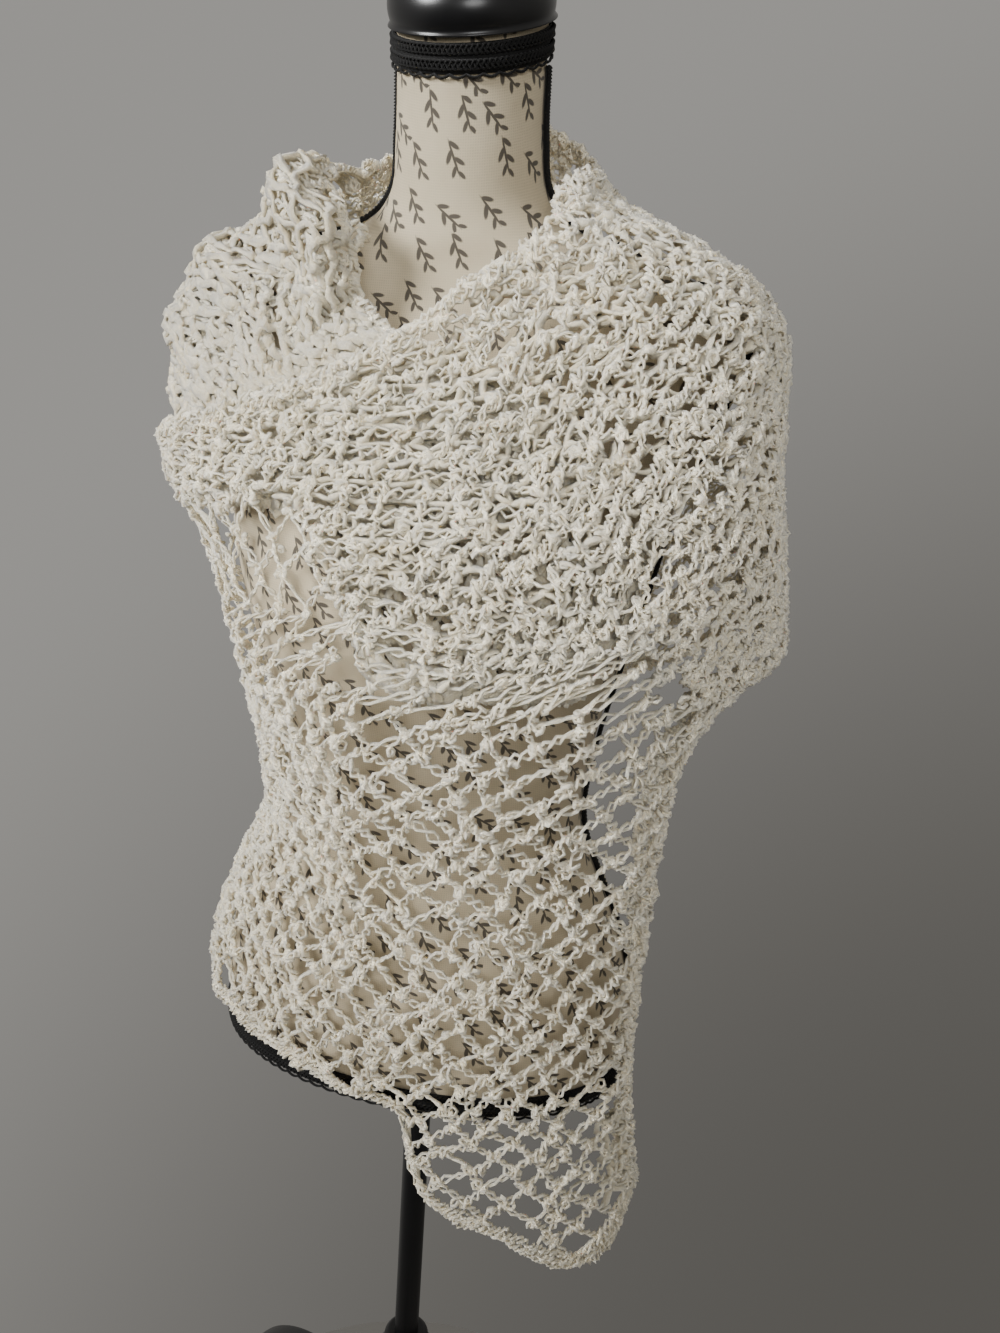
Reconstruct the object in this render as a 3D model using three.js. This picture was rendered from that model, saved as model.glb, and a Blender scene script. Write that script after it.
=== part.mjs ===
// Lace shawl draped on a limbless dress form with a tripod stand.
// Millimetres, +Z up, front facing -Y, floor at z = 0. Heights in the tables are measured
// from the form's bottom edge, and turns in degrees from the middle of the front, positive
// towards the wearer's left (+X). Left and right are the wearer's.
import * as THREE from 'three';
import { mergeVertices } from 'three/addons/utils/BufferGeometryUtils.js';

// Driving dimensions
const FORM_BOTTOM = 620;
const CLOTH_THICKNESS = 3;
const SEAM_GAP = 0.3;
const SEAM_RADIUS = 40;
const POLE_DIAMETER = 21;
const HUB_HEIGHT = 298;
const LEG_COUNT = 3;
const LEG_FIRST_TURN = 30;
const LEG_REACH = 250;
const LEG_DROP = 125;
const LEG_BEND = { reach: 0.68, height: 0.5 };
const LEG_WIDTH = 24;
const LEG_BEVEL = 5;
const FOOT_DIAMETER = 30;
const FOOT_HEIGHT = 9;
const CAP_GAP = 0.3;
const BRAID_GAP = 1.2;
const NECK_BRAID = { height: 706.5, width: 18, thickness: 3 };
const HEM_BRAID = { height: 10, width: 18, thickness: 3 };
const SEAM_BRAID = { width: 7, thickness: 2.5 };
const SHOULDER_SEAM = { from: 694, to: 558 };
const SIDE_SEAM = { from: 430, to: 22 };
const ARMHOLE = { turn: 98, height: 506, half_turn: 16, half_height: 48 };

// Grids: columns and rows of each lofted piece
const FORM_GRID = { sides: 32, rows: 36 };
const FRONT_GRID = { columns: 30, rows: 30 };
const SHOULDER_GRID = { columns: 14, rows: 18 };
const BACK_GRID = { columns: 24, rows: 14 };
const RING_STEPS = 32;
const SEAM_STEPS = 14;
const LATHE_SIDES = 24;
const POLE_SIDES = 20;
const LEG_STEPS = 14;

// Finishes
const OFF_WHITE_LACE = new THREE.MeshStandardMaterial({ color: 0xe9e5d8, roughness: 0.95 });
const CREAM_LINEN = new THREE.MeshStandardMaterial({ color: 0xd8cdba, roughness: 0.9 });
const BLACK_BRAID = new THREE.MeshStandardMaterial({ color: 0x161514, roughness: 0.8 });
const BLACK_SATIN = new THREE.MeshStandardMaterial({ color: 0x1a1a1c, roughness: 0.4 });

// Form: rings from the bottom edge to the neck; shift moves a ring back, tilt leans it forward
const FORM_RINGS = table(['height', 'half', 'front', 'back', 'shift', 'tilt', 'power'], [
  [0, 158, 95, 101, 0, 0, 2.1],
  [30, 160, 97, 106, 1, 0, 2.1],
  [80, 158, 99, 110, 2, 0, 2.1],
  [130, 143, 96, 100, 2, 0, 2.1],
  [200, 113, 86, 82, 2, 0, 2.1],
  [260, 115, 94, 82, 0, 0, 2.1],
  [320, 127, 114, 88, -2, 0, 2.15],
  [375, 140, 124, 93, -2, 0, 2.2],
  [430, 152, 108, 98, 0, 0, 2.25],
  [480, 170, 84, 98, 3, 0, 2.3],
  [520, 183, 66, 90, 6, 0, 2.3],
  [548, 187, 54, 78, 8, 2, 2.2],
  [566, 172, 50, 70, 10, 4, 2.1],
  [584, 130, 52, 66, 12, 8, 2.0],
  [602, 74, 54, 61, 11, 13, 2.0],
  [624, 51.5, 50, 55, 8, 18, 2.0],
  [655, 47, 47.5, 49, 2, 23, 2.0],
  [690, 46.3, 46.3, 46.3, -1.5, 25, 2.0],
  [717, 46.5, 46.5, 46.5, -5.5, 25, 2.0],
]);

// Drape: the surface that the cloth hangs on, rings from the collar down to below the hem.
// It follows the form over the shoulders, bust and hips and bridges the waist on the left.
const DRAPE_RINGS = table(['height', 'right', 'left', 'front', 'back', 'shift', 'tilt', 'power'], [
  [690, 64, 64, 57, 70, 2, 22, 2.0],
  [652, 69, 69, 61, 77, 5, 18, 2.0],
  [624, 88, 84, 66, 83, 8, 12, 2.0],
  [608, 120, 113, 69, 86, 10, 8, 2.0],
  [592, 154, 150, 71, 88, 10, 5, 2.1],
  [572, 184, 184, 75, 91, 10, 3, 2.2],
  [545, 200, 202, 82, 95, 8, 0, 2.3],
  [500, 198, 206, 95, 102, 5, 0, 2.4],
  [450, 183, 206, 112, 104, 0, 0, 2.4],
  [400, 158, 205, 126, 101, 0, 0, 2.3],
  [350, 141, 200, 129, 97, 0, 0, 2.2],
  [300, 128, 192, 122, 93, 0, 0, 2.2],
  [250, 119, 184, 112, 89, 0, 0, 2.2],
  [200, 118, 176, 104, 91, 0, 0, 2.2],
  [140, 144, 169, 104, 106, 0, 0, 2.2],
  [80, 163, 166, 105, 116, 0, 0, 2.2],
  [20, 164, 167, 104, 113, 0, 0, 2.2],
  [-40, 166, 174, 106, 110, 0, 0, 2.2],
  [-100, 166, 183, 108, 110, 0, 0, 2.2],
  [-160, 166, 189, 110, 110, 0, 0, 2.2],
]);

// Front stretch: sections across the cloth from the left shoulder seam down to the hem.
// Each runs from the cowl edge to the outer edge; gather crowds it towards the cowl edge, the
// lifts are its heights over the drape, and the outer edge rolls in on the roll sizes.
const FRONT_SECTIONS = table([
  'cowl_turn', 'cowl_height', 'outer_turn', 'outer_height', 'gather', 'cowl_lift', 'outer_lift',
  'roll_radius', 'roll_width',
], [
  [100, 630, 100, 370, 0.3, 1, 14, 8, 3],
  [64, 630, 94, 362, 0.7, 4, 30, 9, 8],
  [34, 603, 87, 351, 1.0, 7, 28, 10, 16],
  [11, 574, 77, 336, 1.2, 8, 16, 11, 24],
  [-4, 545, 67, 316, 1.3, 8, 11, 12, 28],
  [-18, 502, 63, 288, 1.4, 8, 9, 12, 30],
  [-38, 472, 63, 250, 1.4, 9, 8, 12, 30],
  [-66, 460, 66, 205, 1.5, 8, 8, 12, 28],
  [-98, 438, 69, 155, 1.4, 5, 8, 9, 20],
  [-120, 370, 70, 105, 1.0, 2, 9, 6, 12],
  [-132, 250, 71, 55, 0.6, 2, 10, 6, 12],
  [-137, 130, 74, 0, 0.3, 3, 9, 8, 18],
  [-139, 22, 77, -85, 0.1, 5, 8, 9, 20],
]);
const FRONT_ROLL_START = 0.9;

// Hem of the front stretch: along the form's bottom edge, then down round the hanging tail
const HEM_POINTS = table(['turn', 'height'], [
  [-140, 22], [-90, 20], [-40, 22], [-8, 19], [3, 14], [6, 6], [9, -40], [15, -66],
  [28, -82], [48, -114], [62, -106], [78, -70],
]);
const HEM_START = 0.74;
const TAIL_EDGE_ACROSS = 0.6;
const TAIL_EDGE_CROWDING = 0.6;

// Shoulder stretch: over the right shoulder and under the front, ending on the chest
const SHOULDER_SECTIONS = table(['neck_turn', 'neck_height', 'outer_turn', 'outer_height', 'lift'], [
  [-105, 630, -105, 458, 1],
  [-78, 630, -96, 455, 1],
  [-50, 620, -87, 451, 1],
  [-27, 598, -76, 444, 1],
  [-14, 578, -62, 434, 1],
  [-5, 558, -46, 425, 1],
  [9, 530, -27, 430, 1],
  [26, 486, -14, 424, 1],
  [38, 436, -8, 396, 1],
  [43, 388, -5, 356, 1],
  [35, 332, 3, 322, 1],
]);

// Back stretch: from the left shoulder seam round the back to the right shoulder stretch
const BACK_SECTIONS = table(['turn', 'upper', 'lower', 'upper_lift', 'lower_lift'], [
  [100, 630, 370, 1, 14],
  [122, 640, 330, 1, 8],
  [150, 650, 284, 1, 3],
  [180, 652, 266, 1, 3],
  [210, 648, 300, 1, 2],
  [235, 636, 396, 1, 1],
  [255, 630, 458, 1, 1],
]);

// Folds: a soft ridge that runs from one place across the cloth at the start to another at
// the end; across goes 0 to 1 over the width, from and to go 0 to 1 over the length, and one
// that reaches past 1 is still open at the edge
const FOLD_COLUMNS = ['across_start', 'across_end', 'height', 'width', 'from', 'to'];
const FRONT_FOLDS = table(FOLD_COLUMNS, [
  [0.04, 0.03, 9, 0.05, 0.05, 0.66],
  [0.15, 0.12, 7, 0.05, 0.06, 0.70],
  [0.26, 0.22, 8, 0.055, 0.08, 0.66],
  [0.38, 0.33, 6, 0.06, 0.06, 0.62],
  [0.52, 0.46, 6, 0.07, 0.10, 0.80],
  [0.66, 0.62, 5, 0.07, 0.08, 0.94],
  [0.80, 0.80, 6, 0.07, 0.12, 0.98],
]);
const SHOULDER_FOLDS = table(FOLD_COLUMNS, [
  [0.06, 0.11, 33, 0.065, 0.0, 0.47],
  [0.26, 0.30, 9, 0.06, 0.02, 0.42],
  [0.55, 0.54, 6, 0.07, 0.04, 0.40],
  [0.78, 0.76, 5, 0.08, 0.04, 0.30],
]);
const BACK_FOLDS = table(FOLD_COLUMNS, [
  [0.16, 0.14, 8, 0.06, 0.1, 1.3],
  [0.34, 0.33, 10, 0.07, 0.1, 1.3],
  [0.53, 0.55, 9, 0.07, 0.1, 1.3],
  [0.71, 0.75, 11, 0.07, 0.1, 1.3],
  [0.86, 0.90, 7, 0.05, 0.1, 1.1],
]);

// Neck cap: radius and height above the tilted neck opening
const CAP_PROFILE = [
  [0, 0], [47.5, 0], [50, 3], [51, 9], [50, 16], [47, 22], [43.5, 26], [41.5, 28], [42.5, 30],
  [43, 38], [42.5, 50], [39.5, 62], [32.5, 71], [20, 77], [9.5, 80], [8, 84], [12.5, 89],
  [14.5, 97], [12.5, 105], [7.5, 110], [0, 112],
];
const HUB_PROFILE = [
  [0, -150], [20, -150], [26, -142], [26, -18], [22, -10], [18, -4], [20, 0], [16, 5], [0, 5],
];

// Tables and curves

function table(columns, rows) {
  return rows.map((row) => Object.fromEntries(columns.map((column, i) => [column, row[i]])));
}

// The table's row at a fractional row number, on a smooth curve through the rows
function rowAt(rows, position) {
  const last = rows.length - 1;
  const place = THREE.MathUtils.clamp(position, 0, last);
  const i = Math.min(Math.floor(place), last - 1);
  const f = place - i;
  const [a, b, c, d] = [-1, 0, 1, 2].map((step) => rows[THREE.MathUtils.clamp(i + step, 0, last)]);
  const blend = (key) => b[key] + 0.5 * f * (c[key] - a[key] + f * (2 * a[key] - 5 * b[key]
    + 4 * c[key] - d[key] + f * (3 * (b[key] - c[key]) + d[key] - a[key])));
  return Object.fromEntries(Object.keys(b).map((key) => [key, blend(key)]));
}

// Fractional row number at which a column that only rises or only falls has a value
function rowWhere(rows, column, value) {
  const rising = rows[rows.length - 1][column] > rows[0][column];
  let low = 0;
  let high = rows.length - 1;
  for (let step = 0; step < 32; step += 1) {
    const middle = (low + high) / 2;
    if ((rowAt(rows, middle)[column] < value) === rising) low = middle;
    else high = middle;
  }
  return (low + high) / 2;
}

const lerp = THREE.MathUtils.lerp;
const smooth = (x) => THREE.MathUtils.smoothstep(x, 0, 1);
const radians = THREE.MathUtils.degToRad;
const signedPower = (x, power) => Math.sign(x) * Math.abs(x) ** power;

// A point at a turn on a ring with its own half widths to the four sides
function ringPoint(ring, turn) {
  const side = Math.sin(radians(turn));
  const ahead = Math.cos(radians(turn));
  const reach = side > 0 ? ring.left ?? ring.half : ring.right ?? ring.half;
  const depth = ahead > 0 ? ring.front : ring.back;
  const x = reach * signedPower(side, 2 / ring.power);
  const y = -depth * signedPower(ahead, 2 / ring.power);
  const lean = radians(ring.tilt);
  return new THREE.Vector3(
    x, ring.shift + y * Math.cos(lean), FORM_BOTTOM + ring.height + y * Math.sin(lean));
}

const formPoint = (turn, height) => ringPoint(
  rowAt(FORM_RINGS, rowWhere(FORM_RINGS, 'height', height)), turn);
const drapePoint = (turn, height) => ringPoint(
  rowAt(DRAPE_RINGS, rowWhere(DRAPE_RINGS, 'height', height)), turn);

// Outward unit normal of such a surface, from small steps round it and up it
function outward(surface, turn, height) {
  const round = surface(turn + 0.5, height).sub(surface(turn - 0.5, height));
  const up = surface(turn, height + 1).sub(surface(turn, height - 1));
  return round.cross(up).normalize();
}

// Height of the ridges at a place on a stretch of cloth; each fades in and out along its run
function foldHeight(folds, across, along) {
  return folds.reduce((sum, fold) => {
    const run = (along - fold.from) / (fold.to - fold.from);
    if (run <= 0 || run >= 1) return sum;
    const middle = lerp(fold.across_start, fold.across_end, along);
    const swell = Math.sqrt(Math.sin(Math.PI * run));
    return sum + fold.height * swell * Math.exp(-(((across - middle) / fold.width) ** 2));
  }, 0);
}

// Solids

// Two triangles for each cell of a grid of points, turned over where flip is set
function gridFaces(faces, columns, rows, offset, flip) {
  for (let j = 0; j < rows; j += 1) {
    for (let i = 0; i < columns; i += 1) {
      const a = offset + j * (columns + 1) + i;
      const b = a + 1;
      const c = a + columns + 1;
      const d = c + 1;
      faces.push(...(flip ? [a, c, b, b, c, d] : [a, b, c, b, d, c]));
    }
  }
}

function meshFrom(name, points, faces, material) {
  const raw = new THREE.BufferGeometry();
  raw.setAttribute('position', new THREE.Float32BufferAttribute(points.flatMap((p) => p.toArray()), 3));
  raw.setIndex(faces);
  const geometry = mergeVertices(raw, 1e-3);
  geometry.computeVertexNormals();
  const mesh = new THREE.Mesh(geometry, material);
  mesh.name = name;
  return mesh;
}

// Cloth wall: inner points on the stretch, outer points one thickness further out, and a rim
function clothWall(name, pointAt, { columns, rows }) {
  const inner = [];
  const outer = [];
  const step = 1e-3;
  for (let j = 0; j <= rows; j += 1) {
    for (let i = 0; i <= columns; i += 1) {
      const [u, v] = [i / columns, j / rows];
      const across = pointAt(Math.min(u + step, 1), v).sub(pointAt(Math.max(u - step, 0), v));
      const along = pointAt(u, Math.min(v + step, 1)).sub(pointAt(u, Math.max(v - step, 0)));
      const normal = along.cross(across).normalize();
      const place = pointAt(u, v);
      inner.push(place);
      outer.push(place.clone().addScaledVector(normal, CLOTH_THICKNESS));
    }
  }
  const faces = [];
  const points = [...outer, ...inner];
  const base = outer.length;
  gridFaces(faces, columns, rows, 0, true);
  gridFaces(faces, columns, rows, base, false);
  const rim = [];
  for (let i = 0; i < columns; i += 1) rim.push(i);
  for (let j = 0; j < rows; j += 1) rim.push(j * (columns + 1) + columns);
  for (let i = columns; i > 0; i -= 1) rim.push(rows * (columns + 1) + i);
  for (let j = rows; j > 0; j -= 1) rim.push(j * (columns + 1));
  rim.forEach((a, k) => {
    const b = rim[(k + 1) % rim.length];
    faces.push(a, b, base + a, b, base + b, base + a);
  });
  return meshFrom(name, points, faces, OFF_WHITE_LACE);
}

// Dress form: a stack of rings closed flat at the bottom edge and at the neck
function formBody() {
  const { sides, rows } = FORM_GRID;
  const points = [];
  for (let j = 0; j <= rows; j += 1) {
    const ring = rowAt(FORM_RINGS, (j / rows) * (FORM_RINGS.length - 1));
    for (let i = 0; i <= sides; i += 1) points.push(ringPoint(ring, (i / sides) * 360 - 180));
  }
  const faces = [];
  gridFaces(faces, sides, rows, 0, false);
  [0, rows].forEach((j) => {
    const ring = rowAt(FORM_RINGS, (j / rows) * (FORM_RINGS.length - 1));
    points.push(new THREE.Vector3(0, ring.shift, FORM_BOTTOM + ring.height));
    const centre = points.length - 1;
    for (let i = 0; i < sides; i += 1) {
      const a = j * (sides + 1) + i;
      faces.push(...(j === 0 ? [centre, a + 1, a] : [centre, a, a + 1]));
    }
  });
  return meshFrom('form_body', points, faces, CREAM_LINEN);
}

// Braid: a flat strip laid on the form along a path of turns and heights
function braid(name, pathAt, { width, thickness }, steps, closed) {
  const points = [];
  const count = closed ? steps : steps + 1;
  for (let k = 0; k < count; k += 1) {
    const surface = (f) => formPoint(...pathAt(f));
    const f = k / steps;
    const tangent = surface(f + 0.002).sub(surface(f - 0.002)).normalize();
    const normal = outward(formPoint, ...pathAt(f));
    const side = normal.clone().cross(tangent).normalize();
    [[-1, 0], [1, 0], [1, 1], [-1, 1]].forEach(([edge, face]) => {
      points.push(surface(f).addScaledVector(side, (edge * width) / 2)
        .addScaledVector(normal, BRAID_GAP + face * thickness));
    });
  }
  const faces = [];
  for (let k = 0; k < steps; k += 1) {
    const next = (k + 1) % count;
    for (let c = 0; c < 4; c += 1) {
      const [a, b] = [k * 4 + c, k * 4 + ((c + 1) % 4)];
      const [d, e] = [next * 4 + c, next * 4 + ((c + 1) % 4)];
      faces.push(a, b, d, b, e, d);
    }
  }
  if (!closed) {
    const end = steps * 4;
    faces.push(0, 2, 1, 0, 3, 2, end, end + 1, end + 2, end, end + 2, end + 3);
  }
  return meshFrom(name, points, faces, BLACK_BRAID);
}

function formBraids() {
  const ringAt = (height) => (f) => [f * 360, height];
  const pieces = [
    braid('form_neck_braid', ringAt(NECK_BRAID.height), NECK_BRAID, RING_STEPS, true),
    braid('form_hem_braid', ringAt(HEM_BRAID.height), HEM_BRAID, RING_STEPS, true),
  ];
  [['left', 1], ['right', -1]].forEach(([side, sign]) => {
    const seamAt = ({ from, to }) => (f) => [sign * 90, lerp(from, to, f)];
    const armholeAt = (f) => [
      sign * (ARMHOLE.turn - ARMHOLE.half_turn * Math.sin(f * 2 * Math.PI)),
      ARMHOLE.height + ARMHOLE.half_height * Math.cos(f * 2 * Math.PI)];
    pieces.push(
      braid(`form_armhole_braid_${side}`, armholeAt, SEAM_BRAID, RING_STEPS, true),
      braid(`form_shoulder_braid_${side}`, seamAt(SHOULDER_SEAM), SEAM_BRAID, SEAM_STEPS, false),
      braid(`form_side_braid_${side}`, seamAt(SIDE_SEAM), SEAM_BRAID, SEAM_STEPS, false));
  });
  return pieces;
}

// A turned piece from radii and heights
function lathed(name, profile) {
  const outline = profile.map(([radius, height]) => new THREE.Vector2(radius, height));
  const geometry = new THREE.LatheGeometry(outline, LATHE_SIDES);
  geometry.rotateX(Math.PI / 2);
  const mesh = new THREE.Mesh(geometry, BLACK_SATIN);
  mesh.name = name;
  return mesh;
}

// Neck cap: turned wood on the tilted neck opening, with a plain knob
function neckCap() {
  const neck = FORM_RINGS[FORM_RINGS.length - 1];
  const cap = lathed('form_neck_cap', CAP_PROFILE);
  cap.rotation.x = radians(neck.tilt);
  const axis = new THREE.Vector3(0, -Math.sin(radians(neck.tilt)), Math.cos(radians(neck.tilt)));
  cap.position.set(0, neck.shift, FORM_BOTTOM + neck.height).addScaledVector(axis, CAP_GAP);
  return cap;
}

// An upright round bar
function bar(name, diameter, length) {
  const geometry = new THREE.CylinderGeometry(diameter / 2, diameter / 2, length, POLE_SIDES);
  geometry.rotateX(Math.PI / 2);
  const mesh = new THREE.Mesh(geometry, BLACK_SATIN);
  mesh.name = name;
  return mesh;
}

// Stand: pole under the form, turned hub, and curved legs on round feet
function stand() {
  const pieces = [];
  const hub = lathed('stand_hub', HUB_PROFILE);
  hub.position.z = HUB_HEIGHT;
  pieces.push(hub);
  const poleBase = HUB_HEIGHT + HUB_PROFILE[HUB_PROFILE.length - 1][1] + SEAM_GAP;
  const poleLength = FORM_BOTTOM - SEAM_GAP - poleBase;
  const pole = bar('stand_pole', POLE_DIAMETER, poleLength);
  pole.position.z = poleBase + poleLength / 2;
  pieces.push(pole);
  const hubRadius = Math.max(...HUB_PROFILE.map(([r]) => r));
  const legTop = HUB_HEIGHT - LEG_DROP;
  const route = new THREE.CubicBezierCurve3(
    new THREE.Vector3(hubRadius + SEAM_GAP, 0, legTop),
    new THREE.Vector3(LEG_BEND.reach * LEG_REACH, 0, legTop),
    new THREE.Vector3(LEG_REACH, 0, LEG_BEND.height * legTop),
    new THREE.Vector3(LEG_REACH, 0, FOOT_HEIGHT + SEAM_GAP),
  );
  const half = LEG_WIDTH / 2;
  const inset = half - LEG_BEVEL;
  const section = new THREE.Shape([
    [half, inset], [inset, half], [-inset, half], [-half, inset],
    [-half, -inset], [-inset, -half], [inset, -half], [half, -inset],
  ].map(([x, y]) => new THREE.Vector2(x, y)));
  for (let n = 0; n < LEG_COUNT; n += 1) {
    const turned = new THREE.Group();
    turned.rotation.z = radians(LEG_FIRST_TURN + (n * 360) / LEG_COUNT);
    const leg = new THREE.Mesh(
      new THREE.ExtrudeGeometry(section, { steps: LEG_STEPS, extrudePath: route }), BLACK_SATIN);
    leg.name = `stand_leg_${n + 1}`;
    const foot = bar(`stand_foot_${n + 1}`, FOOT_DIAMETER, FOOT_HEIGHT);
    foot.position.set(LEG_REACH, 0, FOOT_HEIGHT / 2);
    turned.add(leg, foot);
    pieces.push(turned);
  }
  return pieces;
}

// Shawl

// A point over the drape, moved out along its normal
function draped(turn, height, lift) {
  return drapePoint(turn, height).addScaledVector(outward(drapePoint, turn, height), lift);
}

// Front stretch without its rolled edge: across from the cowl edge, along towards the hem
function frontSheet(across, along) {
  const section = rowAt(FRONT_SECTIONS, along * (FRONT_SECTIONS.length - 1));
  const share = Math.expm1(section.gather * across) / Math.expm1(section.gather);
  const turn = lerp(section.cowl_turn, section.outer_turn, share);
  const straight = lerp(section.cowl_height, section.outer_height, share);
  const hem = rowAt(HEM_POINTS, rowWhere(HEM_POINTS, 'turn', turn)).height;
  const height = lerp(straight, hem, smooth((along - HEM_START) / (1 - HEM_START)));
  const lift = lerp(section.cowl_lift, section.outer_lift, share ** 3);
  return draped(turn, height, lift + foldHeight(FRONT_FOLDS, across, along));
}

// Front stretch with the outer edge rolled in on a circle
function frontPoint(u, v) {
  if (u <= FRONT_ROLL_START) return frontSheet(u / FRONT_ROLL_START, v);
  const { roll_radius: radius, roll_width: width } = rowAt(
    FRONT_SECTIONS, v * (FRONT_SECTIONS.length - 1));
  const edge = frontSheet(1, v);
  const across = edge.clone().sub(frontSheet(0.99, v)).normalize();
  const along = frontSheet(1, Math.min(v + 0.01, 1)).sub(frontSheet(1, Math.max(v - 0.01, 0)));
  const normal = along.cross(across).normalize();
  const angle = ((width / radius) * (u - FRONT_ROLL_START)) / (1 - FRONT_ROLL_START);
  return edge.addScaledVector(across, radius * Math.sin(angle))
    .addScaledVector(normal, -radius * (1 - Math.cos(angle)));
}

function shoulderPoint(u, v) {
  const section = rowAt(SHOULDER_SECTIONS, v * (SHOULDER_SECTIONS.length - 1));
  const turn = lerp(section.neck_turn, section.outer_turn, u);
  const height = lerp(section.neck_height, section.outer_height, u);
  return draped(turn, height, section.lift + foldHeight(SHOULDER_FOLDS, u, v));
}

function backPoint(u, v) {
  const first = BACK_SECTIONS[0].turn;
  const last = BACK_SECTIONS[BACK_SECTIONS.length - 1].turn;
  const section = rowAt(BACK_SECTIONS, rowWhere(BACK_SECTIONS, 'turn', lerp(first, last, u)));
  const height = lerp(section.upper, section.lower, v);
  const seam = THREE.MathUtils.radToDeg(SEAM_GAP / SEAM_RADIUS);
  const turn = lerp(first + seam, last - seam, u);
  const lift = lerp(section.upper_lift, section.lower_lift, v ** 3);
  return draped(turn, height, lift + foldHeight(BACK_FOLDS, u, v));
}

// Columns crowded at the tail's upright edge, so that it keeps its form
function crowded(u) {
  const wave = (x) => Math.sin(2 * Math.PI * x) / (2 * Math.PI);
  return u - TAIL_EDGE_CROWDING * (wave(u - TAIL_EDGE_ACROSS) + wave(TAIL_EDGE_ACROSS));
}

const group = new THREE.Group();
group.add(
  formBody(), neckCap(), ...formBraids(), ...stand(),
  clothWall('shawl_front', (u, v) => frontPoint(crowded(u), v), FRONT_GRID),
  clothWall('shawl_shoulder', shoulderPoint, SHOULDER_GRID),
  clothWall('shawl_back', (u, v) => backPoint(1 - u, v), BACK_GRID),
);

// The origin is on the floor under the middle of the whole object
const centre = new THREE.Box3().setFromObject(group, true).getCenter(new THREE.Vector3());
group.position.set(-centre.x, -centre.y, 0);

export default group;
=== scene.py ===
import bpy
import numpy as np
from mathutils import Matrix, Vector


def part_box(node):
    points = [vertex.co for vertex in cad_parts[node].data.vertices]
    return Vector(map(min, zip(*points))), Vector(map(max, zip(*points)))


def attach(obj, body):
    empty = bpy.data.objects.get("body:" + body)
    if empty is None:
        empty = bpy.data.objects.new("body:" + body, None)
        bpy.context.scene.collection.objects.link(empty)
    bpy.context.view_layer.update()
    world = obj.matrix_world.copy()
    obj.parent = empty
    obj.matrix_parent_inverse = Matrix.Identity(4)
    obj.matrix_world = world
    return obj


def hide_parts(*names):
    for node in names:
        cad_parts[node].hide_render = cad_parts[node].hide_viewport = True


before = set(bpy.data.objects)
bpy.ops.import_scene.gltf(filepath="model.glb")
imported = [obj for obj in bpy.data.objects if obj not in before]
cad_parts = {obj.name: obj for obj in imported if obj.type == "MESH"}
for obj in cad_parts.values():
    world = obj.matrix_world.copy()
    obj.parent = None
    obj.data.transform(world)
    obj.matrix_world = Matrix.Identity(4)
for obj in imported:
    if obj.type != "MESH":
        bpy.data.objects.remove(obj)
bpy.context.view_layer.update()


# Stand: a straight tube in a turned hub, with three bent legs on round feet. All of it is steel
# under black satin paint, and the tube goes up into the form's bottom.
POLE_LOW, POLE_HIGH = (np.array(corner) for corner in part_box("stand_pole"))
AXIS = np.array([*(POLE_LOW + POLE_HIGH)[:2] / 2, 0.0])
HUB_HEIGHT = 298
HUB_PROFILE = [(0, -150), (20, -150), (26, -142), (26, -18), (22, -10), (18, -4), (20, 0),
               (16, 5), (0, 5)]
POLE_EDGE, HUB_EDGE = 1, 2
LEG_REACH, LEG_TOP, LEG_START, LEG_END = 250, 173, 26.3, 9.3
LEG_BEND, LEG_RINGS = (0.68, 0.5), 40
LEG_WIDTH, LEG_CORNER = 24, 5
LEG_TURNS = (30, 150, 270)
FOOT_PROFILE = [(0, 0), (13, 0), (15, 2), (15, 7), (13, 9), (0, 9)]
FOOT_SIDES = 32
LEAST_RADIUS = 0.01


def linear(code):
    """Linear colour of an sRGB hex code: each share is below the toe divided, above it raised."""
    share = np.array([int(code[k:k + 2], 16) for k in (1, 3, 5)]) / 255
    toe, curve = share / 12.92, ((share + 0.055) / 1.055) ** 2.4
    return (*np.where(share <= 0.04045, toe, curve), 1.0)


def add(tree, kind, inputs=None, **settings):
    """The outputs of a new shader node of a kind: settings are its properties, and inputs are
    numbers to set or sockets to link."""
    made = tree.nodes.new("ShaderNode" + kind)
    for name, value in settings.items():
        setattr(made, name, value)
    for name, value in (inputs or {}).items():
        if isinstance(value, bpy.types.NodeSocket):
            tree.links.new(value, made.inputs[name])
        else:
            made.inputs[name].default_value = value
    return made.outputs


def new_material(name, **sockets):
    """A new material with one shader whose sockets have these values, and its node tree."""
    made = bpy.data.materials.new(name)
    made.use_nodes = True
    shader = made.node_tree.nodes["Principled BSDF"]
    for socket, value in sockets.items():
        shader.inputs[socket.replace("_", " ")].default_value = value
    return made, made.node_tree, shader


def piece(name, points, faces, material, node=None, slot=None):
    """A mesh in metres from points in millimetres about the pole's axis, riding on the frame. The
    faces are arrays of point numbers, one array for each number of corners."""
    mesh = bpy.data.meshes.new(name)
    points = np.asarray(points, float).reshape(-1, 3) / 1000 + AXIS
    mesh.from_pydata(points.tolist(), [], [face for some in faces for face in some.tolist()])
    mesh.polygons.foreach_set("use_smooth", np.ones(len(mesh.polygons), bool))
    mesh.materials.append(material)
    mesh.update()
    made = bpy.data.objects.new(name, mesh)
    bpy.context.scene.collection.objects.link(made)
    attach(made, "root")
    if node:
        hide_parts(node)
    return made


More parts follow.
